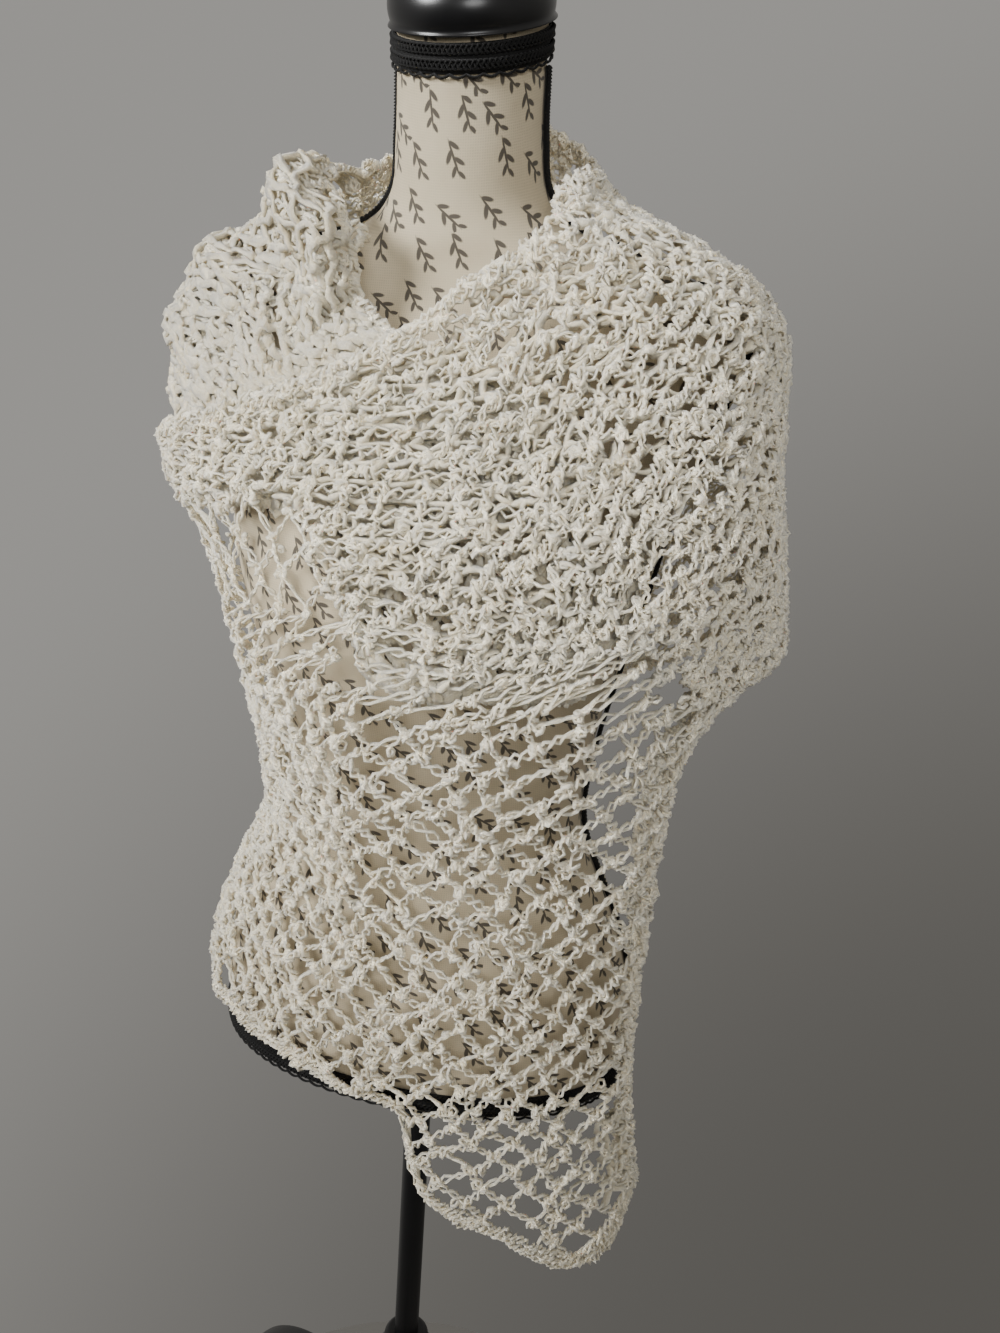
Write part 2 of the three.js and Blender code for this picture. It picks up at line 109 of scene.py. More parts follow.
def tube_faces(rings, sides, closed=False):
    """Quads between rings of points in turn; open ends get one face each."""
    ring, side = np.meshgrid(np.arange(rings if closed else rings - 1), np.arange(sides),
                             indexing="ij")
    after, beside = (ring + 1) % rings, (side + 1) % sides
    quads = np.stack([ring * sides + side, ring * sides + beside, after * sides + beside,
                      after * sides + side], -1).reshape(-1, 4)
    end = np.arange(sides)
    return [quads] if closed else [quads, np.stack([end[::-1], end + (rings - 1) * sides])]


def rings_piece(name, rings, *details):
    """A piece of rings of points in turn, closed at both ends."""
    return piece(name, rings, tube_faces(*rings.shape[:2]), *details)


def eased(profile, radius, steps=5):
    """The profile with each inner corner replaced by a quadratic curve that starts radius away."""
    line = np.array(profile, float)
    back, ahead = line[:-2] - line[1:-1], line[2:] - line[1:-1]
    away = [leg * np.minimum(radius / np.linalg.norm(leg, axis=1), 0.45)[:, None]
            for leg in (back, ahead)]
    f = np.linspace(0, 1, steps)[None, :, None]
    curve = line[1:-1, None] + (1 - f) ** 2 * away[0][:, None] + f ** 2 * away[1][:, None]
    return np.vstack([line[:1], curve.reshape(-1, 2), line[-1:]])


def turned(profile, sides=64):
    """Points of a profile of radii and heights spun round an upright axis, ring after ring."""
    angle = np.linspace(0, 2 * np.pi, sides, endpoint=False)
    radius, height = np.asarray(profile, float).T[:, :, None]
    radius = np.maximum(radius, LEAST_RADIUS)
    return np.stack([radius * np.cos(angle), radius * np.sin(angle),
                     np.broadcast_to(height, (len(profile), sides))], -1)


# Satin powder coat on steel: near black, a soft highlight, and a fine orange peel.
DUST_MM, PEEL_MM = 55.6, 1.2
BLACK_PAINT, tree, shader = new_material("black satin powder coat", Base_Color=linear("#141415"))
place = add(tree, "TexCoord")["Object"]
dust = add(tree, "TexNoise", {"Vector": place, "Scale": 1000 / DUST_MM, "Detail": 5.0})["Fac"]
dull = add(tree, "MapRange", {"Value": dust, "To Min": 0.3, "To Max": 0.5})["Result"]
tree.links.new(dull, shader.inputs["Roughness"])
peel = add(tree, "TexNoise", {"Vector": place, "Scale": 1000 / PEEL_MM, "Detail": 2.0})["Fac"]
relief = add(tree, "Bump", {"Height": peel, "Strength": 0.08, "Distance": 0.0002})["Normal"]
tree.links.new(relief, shader.inputs["Normal"])

pole_radius = 1000 * (POLE_HIGH - POLE_LOW)[0] / 2
pole_low, pole_high = 1000 * POLE_LOW[2], 1000 * POLE_HIGH[2]
rings = turned(eased([(0, pole_low), (pole_radius, pole_low), (pole_radius, pole_high),
                      (0, pole_high)], POLE_EDGE))
rings_piece("pole", rings, BLACK_PAINT, "stand_pole", "black_metal")
rings = turned(eased(HUB_PROFILE, HUB_EDGE)) + [0, 0, HUB_HEIGHT]
rings_piece("hub", rings, BLACK_PAINT, "stand_hub", "black_metal")

f = np.linspace(0, 1, LEG_RINGS)[:, None]
corners = np.array([(LEG_START, LEG_TOP), (LEG_BEND[0] * LEG_REACH, LEG_TOP),
                    (LEG_REACH, LEG_BEND[1] * LEG_TOP), (LEG_REACH, LEG_END)])
route = ((1 - f) ** 3 * corners[0] + 3 * f * (1 - f) ** 2 * corners[1]
         + 3 * f ** 2 * (1 - f) * corners[2] + f ** 3 * corners[3])
along = np.gradient(route, axis=0)
along /= np.linalg.norm(along, axis=1)[:, None]
half = LEG_WIDTH / 2
square = [(0, half), (half, half), (half, -half), (-half, -half), (-half, half), (0, half)]
section = eased(square, LEG_CORNER)[:-1]
for n, turn in enumerate(np.radians(LEG_TURNS)):
    outward = np.array([np.cos(turn), np.sin(turn), 0])
    sideways = np.array([-np.sin(turn), np.cos(turn), 0])
    middle = route[:, :1] * outward + route[:, 1:] * [0, 0, 1]
    across = -along[:, 1:] * outward + along[:, :1] * [0, 0, 1]
    rings = (middle[:, None] + section[:, :1] * sideways
             + section[None, :, 1:] * across[:, None])
    rings_piece(f"leg_{n + 1}", rings, BLACK_PAINT, f"stand_leg_{n + 1}", "black_metal")
    rings = turned(FOOT_PROFILE, FOOT_SIDES) + LEG_REACH * outward
    rings_piece(f"foot_{n + 1}", rings, BLACK_PAINT, f"stand_foot_{n + 1}", "black_metal")


# Form: a hard shell of a torso without limbs, covered with cream linen that is sewn up the back
# and printed with small sprigs. Rings of half widths to the four sides give its shape.
FORM_BOTTOM = 620
FORM_RINGS = [  # height, right, left, front, back, shift back, tilt forward, power of the oval
    (0, 158, 158, 95, 101, 0, 0, 2.1), (30, 160, 160, 97, 106, 1, 0, 2.1),
    (80, 158, 158, 99, 110, 2, 0, 2.1), (130, 143, 143, 96, 100, 2, 0, 2.1),
    (200, 113, 113, 86, 82, 2, 0, 2.1), (260, 115, 115, 94, 82, 0, 0, 2.1),
    (320, 127, 127, 114, 88, -2, 0, 2.15), (375, 140, 140, 124, 93, -2, 0, 2.2),
    (430, 152, 152, 108, 98, 0, 0, 2.25), (480, 170, 170, 84, 98, 3, 0, 2.3),
    (520, 183, 183, 66, 90, 6, 0, 2.3), (548, 187, 187, 54, 78, 8, 2, 2.2),
    (566, 172, 172, 50, 70, 10, 4, 2.1), (584, 130, 130, 52, 66, 12, 8, 2.0),
    (602, 74, 74, 54, 61, 11, 13, 2.0), (624, 51.5, 51.5, 50, 55, 8, 18, 2.0),
    (655, 47, 47, 47.5, 49, 2, 23, 2.0), (690, 46.3, 46.3, 46.3, 46.3, -1.5, 25, 2.0),
    (717, 46.5, 46.5, 46.5, 46.5, -5.5, 25, 2.0)]
FORM_COLUMNS, FORM_ROWS = 96, 110
STEP_ROUND, STEP_UP = 0.5, 1


def smooth_rows(rows, position):
    """Values on a cubic curve through a table's rows, at fractional row numbers."""
    rows, last = np.asarray(rows, float), len(rows) - 1
    position = np.clip(np.asarray(position, float), 0, last)
    i = np.minimum(position.astype(int), last - 1)
    f = (position - i)[..., None]
    a, b, c, d = (rows[np.clip(i + step, 0, last)] for step in (-1, 0, 1, 2))
    return b + 0.5 * f * (c - a + f * (2 * a - 5 * b + 4 * c - d + f * (3 * (b - c) + d - a)))


def row_where(rows, value, samples=4001):
    """Fractional row numbers at which a table's first column has the values."""
    position = np.linspace(0, len(rows) - 1, samples)
    column = smooth_rows(rows, position)[:, 0]
    order = np.argsort(column)
    return np.interp(value, column[order], position[order])


def ring_point(rows, turn, height):
    """Points at turns, in degrees from the front's middle, on the ovals at these heights: each
    oval reaches out by its half width times the sine or cosine to the power of two over its own
    power, and leans forward by its tilt."""
    ring = smooth_rows(rows, row_where(rows, height))
    _, right, left, front, back, shift, tilt, power = np.moveaxis(ring, -1, 0)
    side, ahead, lean = np.sin(np.radians(turn)), np.cos(np.radians(turn)), np.radians(tilt)
    x = np.where(side > 0, left, right) * np.sign(side) * np.abs(side) ** (2 / power)
    y = -np.where(ahead > 0, front, back) * np.sign(ahead) * np.abs(ahead) ** (2 / power)
    return np.stack([x, shift + y * np.cos(lean),
                     FORM_BOTTOM + ring[..., 0] + y * np.sin(lean)], -1)


def unit(vectors):
    """The vectors divided by their lengths."""
    return vectors / np.maximum(np.linalg.norm(vectors, axis=-1, keepdims=True), 1e-9)


def ring_outward(rows, turn, height):
    """Outward unit normals of such a surface, from small steps round it and up it."""
    round_it = (ring_point(rows, turn + STEP_ROUND, height)
                - ring_point(rows, turn - STEP_ROUND, height))
    up = ring_point(rows, turn, height + STEP_UP) - ring_point(rows, turn, height - STEP_UP)
    return unit(np.cross(round_it, up))


def lengths(path):
    """Lengths along a line of points, from its start to each point."""
    return np.concatenate([[0], np.cumsum(np.linalg.norm(np.diff(path, axis=0), axis=1))])


# Linen: plain weave, matt, with uneven threads. The threads are drawn at 1.5 mm, coarser than
# real ones, so that they show, and the sprigs are thin brown-grey leaves on a stem.
THREAD_MM, SLUB_MM, SPRIG_MM = 1.5, 16.7, 25
WAVE_LENGTH = 0.314  # of the wave pattern at scale 1
LEAVES = [  # place along the stem and beside it, turn, half length and half width
    (0, 0, 0, 11, 0.8), (-6.6, 2.3, 35, 4.2, 1.4), (-1.6, -2.5, -38, 4.4, 1.5),
    (2.8, 2.6, 36, 4.0, 1.4), (7.2, -2.3, -36, 3.6, 1.3), (10.5, 1.5, 24, 3.1, 1.2)]
LINEN, tree, shader = new_material("printed cream linen", Roughness=0.9, Sheen_Weight=0.15)
uv = add(tree, "UVMap", uv_map="cloth_mm")["UV"]
threads = [add(tree, "TexWave", {"Vector": uv, "Scale": WAVE_LENGTH / THREAD_MM,
                                 "Distortion": 1.5, "Detail": 2.0, "Detail Scale": 1.5},
               wave_type="BANDS", bands_direction=way)["Fac"] for way in ("X", "Y")]
weave = add(tree, "Math", {0: threads[0], 1: threads[1]}, operation="MAXIMUM")[0]
slub = add(tree, "TexNoise", {"Vector": uv, "Scale": 1 / SLUB_MM, "Detail": 6.0,
                              "Roughness": 0.7})["Fac"]
cream = add(tree, "Mix", {"Factor": slub, "A": linear("#cbbb9c"), "B": linear("#dfd2b6")},
            data_type="RGBA")["Result"]
shade = add(tree, "MapRange", {"Value": weave, "To Min": 0.86, "To Max": 1.04})["Result"]
woven = add(tree, "VectorMath", {0: cream, "Scale": shade}, operation="SCALE")["Vector"]
cells = add(tree, "TexVoronoi", {"Vector": uv, "Scale": 1 / SPRIG_MM, "Randomness": 0.55},
            voronoi_dimensions="2D")
local = add(tree, "VectorMath", {0: uv, 1: cells["Position"]}, operation="SUBTRACT")["Vector"]
lean = add(tree, "MapRange", {"Value": cells["Color"], "To Min": 0.3, "To Max": 1.5})["Result"]
sprig = add(tree, "VectorRotate", {"Vector": local, "Angle": lean},
            rotation_type="Z_AXIS")["Vector"]
spans = []
for x, y, turn, length, width in LEAVES:
    leaf = add(tree, "Mapping", {"Vector": sprig, "Location": (x, y, 0),
                                 "Rotation": (0, 0, np.radians(turn)),
                                 "Scale": (length, width, 1)}, vector_type="TEXTURE")["Vector"]
    spans.append(add(tree, "VectorMath", {0: leaf}, operation="LENGTH")["Value"])
nearest = spans[0]
for span in spans[1:]:
    nearest = add(tree, "Math", {0: nearest, 1: span}, operation="MINIMUM")[0]
ink = add(tree, "MapRange", {"Value": nearest, "From Min": 1.15, "From Max": 0.8,
                             "To Max": 0.94})["Result"]
printed = add(tree, "Mix", {"Factor": ink, "A": woven, "B": linear("#4a443d")},
              data_type="RGBA")["Result"]
tree.links.new(printed, shader.inputs["Base Color"])
relief = add(tree, "Bump", {"Height": weave, "Strength": 0.35, "Distance": 0.0004})["Normal"]
tree.links.new(relief, shader.inputs["Normal"])

heights = smooth_rows(FORM_RINGS, np.linspace(0, len(FORM_RINGS) - 1, FORM_ROWS))[:, :1]
turns = np.linspace(-180, 180, FORM_COLUMNS + 1)[None]
grid = ring_point(FORM_RINGS, turns + 0 * heights, heights + 0 * turns)
form = rings_piece("form_cover", grid[:, :-1], LINEN, "form_body", "linen")
steps_round = np.linalg.norm(np.diff(grid, axis=1), axis=2)
round_mm = np.concatenate([0 * heights, np.cumsum(steps_round, 1)], 1)
round_mm -= round_mm[:, [FORM_COLUMNS // 2]]
up_mm = lengths(grid[:, FORM_COLUMNS // 2])
flat = np.stack([round_mm, np.broadcast_to(up_mm[:, None], round_mm.shape)], -1)
corner_uv = np.stack([flat[:-1, :-1], flat[:-1, 1:], flat[1:, 1:], flat[1:, :-1]], 2)
corner_uv = np.concatenate([corner_uv.reshape(-1, 2), flat[0, -2::-1], flat[-1, :-1]])
form.data.uv_layers.new(name="cloth_mm").data.foreach_set("uv", corner_uv.ravel())


# Neck cap: turned beech in black satin lacquer, with a groove and a plain knob. It is screwed on
# the tilted neck opening, over the cover's gathered end.
CAP_PROFILE = [(0, 0), (47.5, 0), (50, 3), (51, 9), (50, 16), (47, 22), (43.5, 26), (41.5, 28),
               (42.5, 30), (43, 38), (42.5, 50), (39.5, 62), (32.5, 71), (20, 77), (9.5, 80),
               (8, 84), (12.5, 89), (14.5, 97), (12.5, 105), (7.5, 110), (0, 112)]
CAP_STEPS, CAP_SIDES, CAP_GAP = 3, 56, 0.3
NECK_HEIGHT, NECK_SHIFT, NECK_TILT = 717, -5.5, 25

# Satin lacquer on wood: black, with a clear soft highlight and very faint turning lines.
TURNING_MM, SMUDGE_MM = 2.5, 28.6
LACQUER, tree, shader = new_material("black satin lacquer on beech", Base_Color=linear("#0e0e10"),
                                     Coat_Weight=0.25, Coat_Roughness=0.2)
place = add(tree, "TexCoord")["Object"]
level = add(tree, "Mapping", {"Vector": place, "Rotation": (-np.radians(NECK_TILT), 0, 0),
                              "Scale": (2, 2, 1000 / TURNING_MM)})["Vector"]
smudge = add(tree, "TexNoise", {"Vector": place, "Scale": 1000 / SMUDGE_MM, "Detail": 5.0})["Fac"]
dull = add(tree, "MapRange", {"Value": smudge, "To Min": 0.24, "To Max": 0.4})["Result"]
tree.links.new(dull, shader.inputs["Roughness"])
lines = add(tree, "TexNoise", {"Vector": level, "Scale": 1.0, "Detail": 2.0})["Fac"]
relief = add(tree, "Bump", {"Height": lines, "Strength": 0.06, "Distance": 0.0004})["Normal"]
tree.links.new(relief, shader.inputs["Normal"])

last = len(CAP_PROFILE) - 1
rings = turned(smooth_rows(CAP_PROFILE, np.linspace(0, last, CAP_STEPS * last + 1)), CAP_SIDES)
lean = np.array(Matrix.Rotation(np.radians(NECK_TILT), 3, "X"))
rings = (rings + [0, 0, CAP_GAP]) @ lean.T + [0, NECK_SHIFT, FORM_BOTTOM + NECK_HEIGHT]
rings_piece("neck_cap", rings, LACQUER, "form_neck_cap", "black_wood")


# Braids: black cotton gimp glued on the cover's edges and seams. Three cords are plaited over a
# thin tape; the wide braid at the neck and hem is two plaits with a scalloped cord below.
PLAIT_PITCH, PLAIT_STEPS, PLAIT_LIFT, PLAIT_WAVE = 9.0, 6, 2.6, 0.7
CORD_RADIUS, CORD_SIDES, STRANDS = 1.15, 3, 3
WIDE_PLAITS, NARROW_PLAITS = [(4.4, 2.6), (-3.4, 2.6)], [(0, 2.1)]  # middle and half width
SCALLOP_START, SCALLOP_DEPTH, SCALLOP_RADIUS = 8.2, 1.6, 1.0
WIDE_TAPE, NARROW_TAPE, TAPE_STEP = 8.0, 3.0, 3
TAPE_LIFT, TAPE_HALF_THICK = 1.35, 0.35
ROUTE_STEP, ROUTE_SAMPLES = 1e-3, 800
BRAIDS = [  # node, wide, closed, turns and heights along it for a share f of its length
    ("form_neck_braid", True, True, lambda f: (360 * f, 706.5 + 0 * f)),
    ("form_hem_braid", True, True, lambda f: (360 * f, 10 + 0 * f))]
for name, sign in (("left", 1), ("right", -1)):
    BRAIDS += [
        (f"form_armhole_braid_{name}", False, True,
         lambda f, sign=sign: (sign * (98 - 16 * np.sin(2 * np.pi * f)),
                               506 + 48 * np.cos(2 * np.pi * f))),
        (f"form_shoulder_braid_{name}", False, False,
         lambda f, sign=sign: (sign * 90 + 0 * f, 694 - 136 * f)),
        (f"form_side_braid_{name}", False, False,
         lambda f, sign=sign: (sign * 90 + 0 * f, 430 - 408 * f))]

# Cotton gimp: black, matt, with the twist of its threads every 2 mm as a fine bump.
TWIST_MM = 2.0
GIMP, tree, shader = new_material("black cotton gimp", Roughness=0.85, Sheen_Weight=0.05,
                                  Sheen_Roughness=0.4)
place = add(tree, "TexCoord")["Object"]
twist = add(tree, "TexNoise", {"Vector": place, "Scale": 1000 / TWIST_MM, "Detail": 3.0})["Fac"]
black = add(tree, "Mix", {"Factor": twist, "A": linear("#070707"), "B": linear("#151413")},
            data_type="RGBA")["Result"]
tree.links.new(black, shader.inputs["Base Color"])
relief = add(tree, "Bump", {"Height": twist, "Strength": 0.5, "Distance": 0.0005})["Normal"]
tree.links.new(relief, shader.inputs["Normal"])


def swept(lines, normals, radius, sides, closed=False):
    """Points and faces of round tubes along an array of lines of points: each ring stands across
    its line, with its first point on the side of the given normals."""
    normals = np.broadcast_to(normals, lines.shape)
    count, rings = lines.shape[:2]
    if closed:
        ahead = unit(np.roll(lines, -1, 1) - np.roll(lines, 1, 1))
    else:
        ahead = unit(np.gradient(lines, axis=1))
    first = unit(normals - (normals * ahead).sum(-1, keepdims=True) * ahead)
    second = np.cross(ahead, first)
    angle = np.linspace(0, 2 * np.pi, sides, endpoint=False)[:, None]
    radius = np.broadcast_to(radius, lines.shape[:2])[:, :, None, None]
    points = lines[:, :, None] + radius * (np.cos(angle) * first[:, :, None]
                                           + np.sin(angle) * second[:, :, None])
    starts = (np.arange(count) * rings * sides)[:, None, None]
    faces = [(starts + some).reshape(-1, some.shape[1])
             for some in tube_faces(rings, sides, closed)]
    return points.reshape(-1, 3), faces


def joined(parts):
    """Points and faces of several meshes as one, with the faces' numbers moved on."""
    starts = np.cumsum([0] + [len(points) for points, _ in parts])
    return (np.vstack([points for points, _ in parts]),
            [some + start for (_, faces), start in zip(parts, starts) for some in faces])


for node, wide, closed, route in BRAIDS:
    length = lengths(ring_point(FORM_RINGS, *route(np.linspace(0, 1, ROUTE_SAMPLES))))[-1]
    waves = round(length / PLAIT_PITCH)
    f = np.linspace(0, 1, PLAIT_STEPS * waves, endpoint=not closed)
    path, normal = ring_point(FORM_RINGS, *route(f)), ring_outward(FORM_RINGS, *route(f))
    ahead = (ring_point(FORM_RINGS, *route(f + ROUTE_STEP))
             - ring_point(FORM_RINGS, *route(f - ROUTE_STEP)))
    across = unit(np.cross(normal, ahead))
    across *= np.sign(across[0, 2]) if wide else 1
    parts = []
    for middle, half in WIDE_PLAITS if wide else NARROW_PLAITS:
        for strand in range(STRANDS):
            wave = 2 * np.pi * (waves * f + strand / STRANDS)
            line = (path + (middle + half * np.sin(wave))[:, None] * across
                    + (PLAIT_LIFT + PLAIT_WAVE * np.sin(2 * wave))[:, None] * normal)
            parts.append(swept(line[None], normal[None], CORD_RADIUS, CORD_SIDES, closed))
    if wide:
        scallop = -SCALLOP_START - SCALLOP_DEPTH * np.abs(np.sin(np.pi * waves * f))
        line = path + scallop[:, None] * across + PLAIT_LIFT * normal
        parts.append(swept(line[None], normal[None], SCALLOP_RADIUS, CORD_SIDES, closed))
    tape = WIDE_TAPE if wide else NARROW_TAPE
    corners = [(-tape, -1), (tape, -1), (tape, 1), (-tape, 1)]
    strip = np.stack([path + side * across + (TAPE_LIFT + edge * TAPE_HALF_THICK) * normal
                      for side, edge in corners], 1)[::TAPE_STEP]
    handed = np.sign((np.cross(across, normal) * ahead).sum(-1))[0]
    strip = strip if handed > 0 else strip[:, ::-1]
    parts.append((strip.reshape(-1, 3), tube_faces(len(strip), len(corners), closed)))
    piece(node.replace("form_", "gimp_"), *joined(parts), GIMP, node, "braid")


# Shawl: one long piece of crochet net in curled yarn, wound round the shoulders. Ovals to each
# side give the surface that it hangs on, and each stretch is a sheet over that surface.
DRAPE_RINGS = [  # height, right, left, front, back, shift back, tilt forward, power of the oval
    (690, 64, 64, 57, 70, 2, 22, 2.0), (652, 69, 69, 61, 77, 5, 18, 2.0),
    (624, 88, 84, 66, 83, 8, 12, 2.0), (608, 120, 113, 69, 86, 10, 8, 2.0),
    (592, 154, 150, 71, 88, 10, 5, 2.1), (572, 184, 184, 75, 91, 10, 3, 2.2),
    (545, 200, 202, 82, 95, 8, 0, 2.3), (500, 198, 206, 95, 102, 5, 0, 2.4),
    (450, 183, 206, 112, 104, 0, 0, 2.4), (400, 158, 205, 126, 101, 0, 0, 2.3),
    (350, 141, 200, 129, 97, 0, 0, 2.2), (300, 128, 192, 122, 93, 0, 0, 2.2),
    (250, 119, 184, 112, 89, 0, 0, 2.2), (200, 118, 176, 104, 91, 0, 0, 2.2),
    (140, 144, 169, 104, 106, 0, 0, 2.2), (80, 163, 166, 105, 116, 0, 0, 2.2),
    (20, 164, 167, 104, 113, 0, 0, 2.2), (-40, 166, 174, 106, 110, 0, 0, 2.2),
    (-100, 166, 183, 108, 110, 0, 0, 2.2), (-160, 166, 189, 110, 110, 0, 0, 2.2)]
RIPPLE_WAVES, RIPPLE_GAIN = 8, 1.6


def draped(turn, height, lift):
    """Points over the drape, moved out along its normals."""
    return (ring_point(DRAPE_RINGS, turn, height)
            + lift[..., None] * ring_outward(DRAPE_RINGS, turn, height))


def ramp(value, start, width):
    """Zero before the start, one a width further on, and an even slope between."""
    return np.clip((value - start) / width, 0, 1)


def mixed(a, b, f):
    """The value that is a share f of the way from a to b."""
    return a + (b - a) * f


def fold_height(folds, across, along):
    """Sum of soft ridges: each is a bell across the cloth about a line from its first to its last
    place, times the root of a half sine over its run along the cloth."""
    total = 0 * across
    for first, last, height, width, start, stop in folds:
        run = ramp(along, start, stop - start)
        middle = mixed(first, last, along)
        total = total + (height * np.sqrt(np.sin(np.pi * run).clip(0))
                         * np.exp(-((across - middle) / width) ** 2))
    return total


def ripple(u, v, turns, seed):
    """An even random swell: the mean of eight sine waves with up to that many turns each way."""
    draw = np.random.default_rng(seed)
    waves = draw.uniform(-turns, turns, (RIPPLE_WAVES, 2))
    starts = draw.uniform(0, 2 * np.pi, RIPPLE_WAVES)
    phase = 2 * np.pi * (u[..., None] * waves[:, 0] + v[..., None] * waves[:, 1]) + starts
    return RIPPLE_GAIN * np.sin(phase).mean(-1)


def shares(columns, rows):
    """Shares across and along a sheet at the points of an even grid."""
    return np.meshgrid(np.linspace(0, 1, columns), np.linspace(0, 1, rows), indexing="ij")


def even_rows(sheet, columns=40, rows=320):
    """A table for np.interp: shares of a sheet's length along it, and the v at each. The length is
    the mean over the sheet without the first quarter of its width."""
    u, v = shares(columns, rows)
    length = np.linalg.norm(np.diff(sheet(u, v), axis=1), axis=2)[columns // 4:].mean(0)
    return np.concatenate([[0], np.cumsum(length) / length.sum()]), v[0]


def laid_out(sheet, spacing=None, columns=160, rows=320):
    """A sheet's points and outward normals on a fine grid, with its rows spaced by a table."""
    u, v = shares(columns, rows)
    points = sheet(u, np.interp(v, *spacing) if spacing else v)
    normals = unit(np.cross(np.gradient(points, axis=1), np.gradient(points, axis=0)))
    return points, normals


def on_grid(grid, u, v):
    """Values between the points of a fine grid, weighted by nearness in both directions."""
    columns, rows = grid.shape[0] - 1, grid.shape[1] - 1
    a, b = np.clip(u, 0, 1) * columns, np.clip(v, 0, 1) * rows
    i, j = np.minimum(a.astype(int), columns - 1), np.minimum(b.astype(int), rows - 1)
    a, b = (a - i)[..., None], (b - j)[..., None]
    return ((1 - a) * (1 - b) * grid[i, j] + a * (1 - b) * grid[i + 1, j]
            + (1 - a) * b * grid[i, j + 1] + a * b * grid[i + 1, j + 1])


# Curled cotton yarn: off-white, matt and soft. Fibres scatter light inside, so that the gaps look
# warm, and each loop is a little lighter or yellower than the next at random. The folded layer
# under the net gets higher tones, which paint its yarn yellower and darker as painted shade.
FIBRE_MM, CLOUD_MM = 1.1, 33.3
YARN, tree, shader = new_material("curled off-white cotton yarn", Roughness=0.85, Sheen_Weight=0.8,
                                  Sheen_Roughness=0.6, Subsurface_Weight=0.8,
                                  Subsurface_Scale=0.004, Subsurface_Radius=(1.0, 0.9, 0.75))
shader.subsurface_method = "BURLEY"
place = add(tree, "TexCoord")["Object"]
tone = add(tree, "Attribute", attribute_name="tone")["Fac"]
fibre = add(tree, "TexNoise", {"Vector": place, "Scale": 1000 / FIBRE_MM, "Detail": 3.0})["Fac"]
cloud = add(tree, "TexNoise", {"Vector": place, "Scale": 1000 / CLOUD_MM, "Detail": 4.0})["Fac"]
shifted = add(tree, "Math", {0: tone, 1: cloud}, operation="MULTIPLY")[0]
white = add(tree, "Mix", {"Factor": shifted, "A": linear("#f8f2de"), "B": linear("#ebdfbe")},
            data_type="RGBA")["Result"]
fuzz = add(tree, "MapRange", {"Value": fibre, "From Min": 0.3, "From Max": 0.7,
                              "To Min": 0.84, "To Max": 1.03})["Result"]
mottled = add(tree, "VectorMath", {0: white, "Scale": fuzz}, operation="SCALE")["Vector"]
tree.links.new(mottled, shader.inputs["Base Color"])
relief = add(tree, "Bump", {"Height": fibre, "Strength": 1.0, "Distance": 0.0009})["Normal"]
tree.links.new(relief, shader.inputs["Normal"])

# The net's yarn, in millimetres or in cells and rows. A range is the limits of a random share.
NET_LIFT, SWELL_MM, SWELL_TURNS = 2.4, 1.6, 12
SWAY, SWAY_TURNS, KNOT_STRAY, ARCH_CURVE = 0.5, (7, 9), 0.12, 0.8
HALF_ARCH_MM, CURL_MM, CURL_STEPS, MOST_BOW, BOW_OUT = 19.5, 11.5, 7, 5.0, 0.5
CURL_RADIUS, CURL_RANGE, CURL_FLAT, CURL_JITTER = 2.4, (0.75, 1.25), 0.8, 0.35
THIN_CHANCE, THIN_BULK, BULK_RANGE, TWIST_RANGE = 0.08, 0.3, (0.75, 1.2), (0.6, 1.4)
THREAD_RADIUS, THREAD_RANGE, YARN_SIDES = 1.3, (0.85, 1.15), 3
LOOPS, LOOP_RADIUS, LOOP_RANGE, LOOP_THREAD = (4, 3), 3.0, (0.65, 1.25), 1.5
LOOP_POINTS, LOOP_SPREAD, LOOP_LIFT, LOOP_LEAN = 5, 0.15, 0.8, 0.01
SIDE_INSETS, END_INSETS = (0.0, 0.4), (0.0, 0.4, 0.8)
INNER_LIFT, INNER_RADIUS, INNER_RANGE, INNER_POINTS = -0.4, 2.9, (0.6, 1.3), 5
# The inner layer's tones lie above the net's: its yarn is painted yellower and darker as painted
# shade under the net, and its tone varies at random within that range.
INNER_JITTER, INNER_SHADED_TONES = 1.0, (0.8, 1.6)


def net_places(net, lift):
    """A function for places on a net: points and normals at cells across and rows along its sheet,
    each moved by up to half a cell in a soft random swell, and raised by the lift. A net is its
    sheet's points and normals, its cells and rows, and its seed."""
    (points, normals), cells, rows, seed = net

    def place(a, j):
        u, v = a / cells, j / rows
        sway = SWAY * np.sin(np.pi * np.clip(u, 0, 1)) * np.sin(np.pi * np.clip(v, 0, 1)) ** 0.5
        u, v = (u + sway / cells * ripple(u, v, SWAY_TURNS[0], seed + 1),
                v + sway / rows * ripple(u, v, SWAY_TURNS[1], seed + 2))
        normal = on_grid(normals, u, v)
        rise = lift + SWELL_MM * ripple(u, v, SWELL_TURNS, seed + 3)
        return on_grid(points, u, v) + rise[..., None] * normal, normal
    return place


def half_arches(cells, first, last):
    """Places across, rows and steps aside of the lines between knots: two leave each knot, to the
    next ones in the following row, which stands half a cell on."""
    j, i, side = (x.ravel() for x in np.meshgrid(np.arange(first, last), np.arange(cells + 1),
                                                 (-0.5, 0.5), indexing="ij"))
    a = i + 0.5 * (j % 2)
    keep = (a <= cells) & (a + side >= 0) & (a + side <= cells)
    return a[keep], j[keep], side[keep]


def bowed(lines, normals, draw, most):
    """Lines bent out by a half sine, each in a random direction, to the length of their yarn, but
    at most this far."""
    s = np.linspace(0, np.pi, lines.shape[1])[:, None]
    across = unit(np.cross(normals, np.gradient(lines, axis=1)))
    chord = np.linalg.norm(lines[:, -1] - lines[:, 0], axis=1)
    bow = np.minimum(2 / np.pi * np.sqrt(np.maximum(chord * (HALF_ARCH_MM - chord), 0)), most)
    way = draw.uniform(0, 2 * np.pi, len(lines))
    push = ((np.cos(way) * bow)[:, None, None] * across
            + (BOW_OUT * np.abs(np.sin(way)) * bow)[:, None, None] * normals)
    return lines + np.sin(s) * push, across


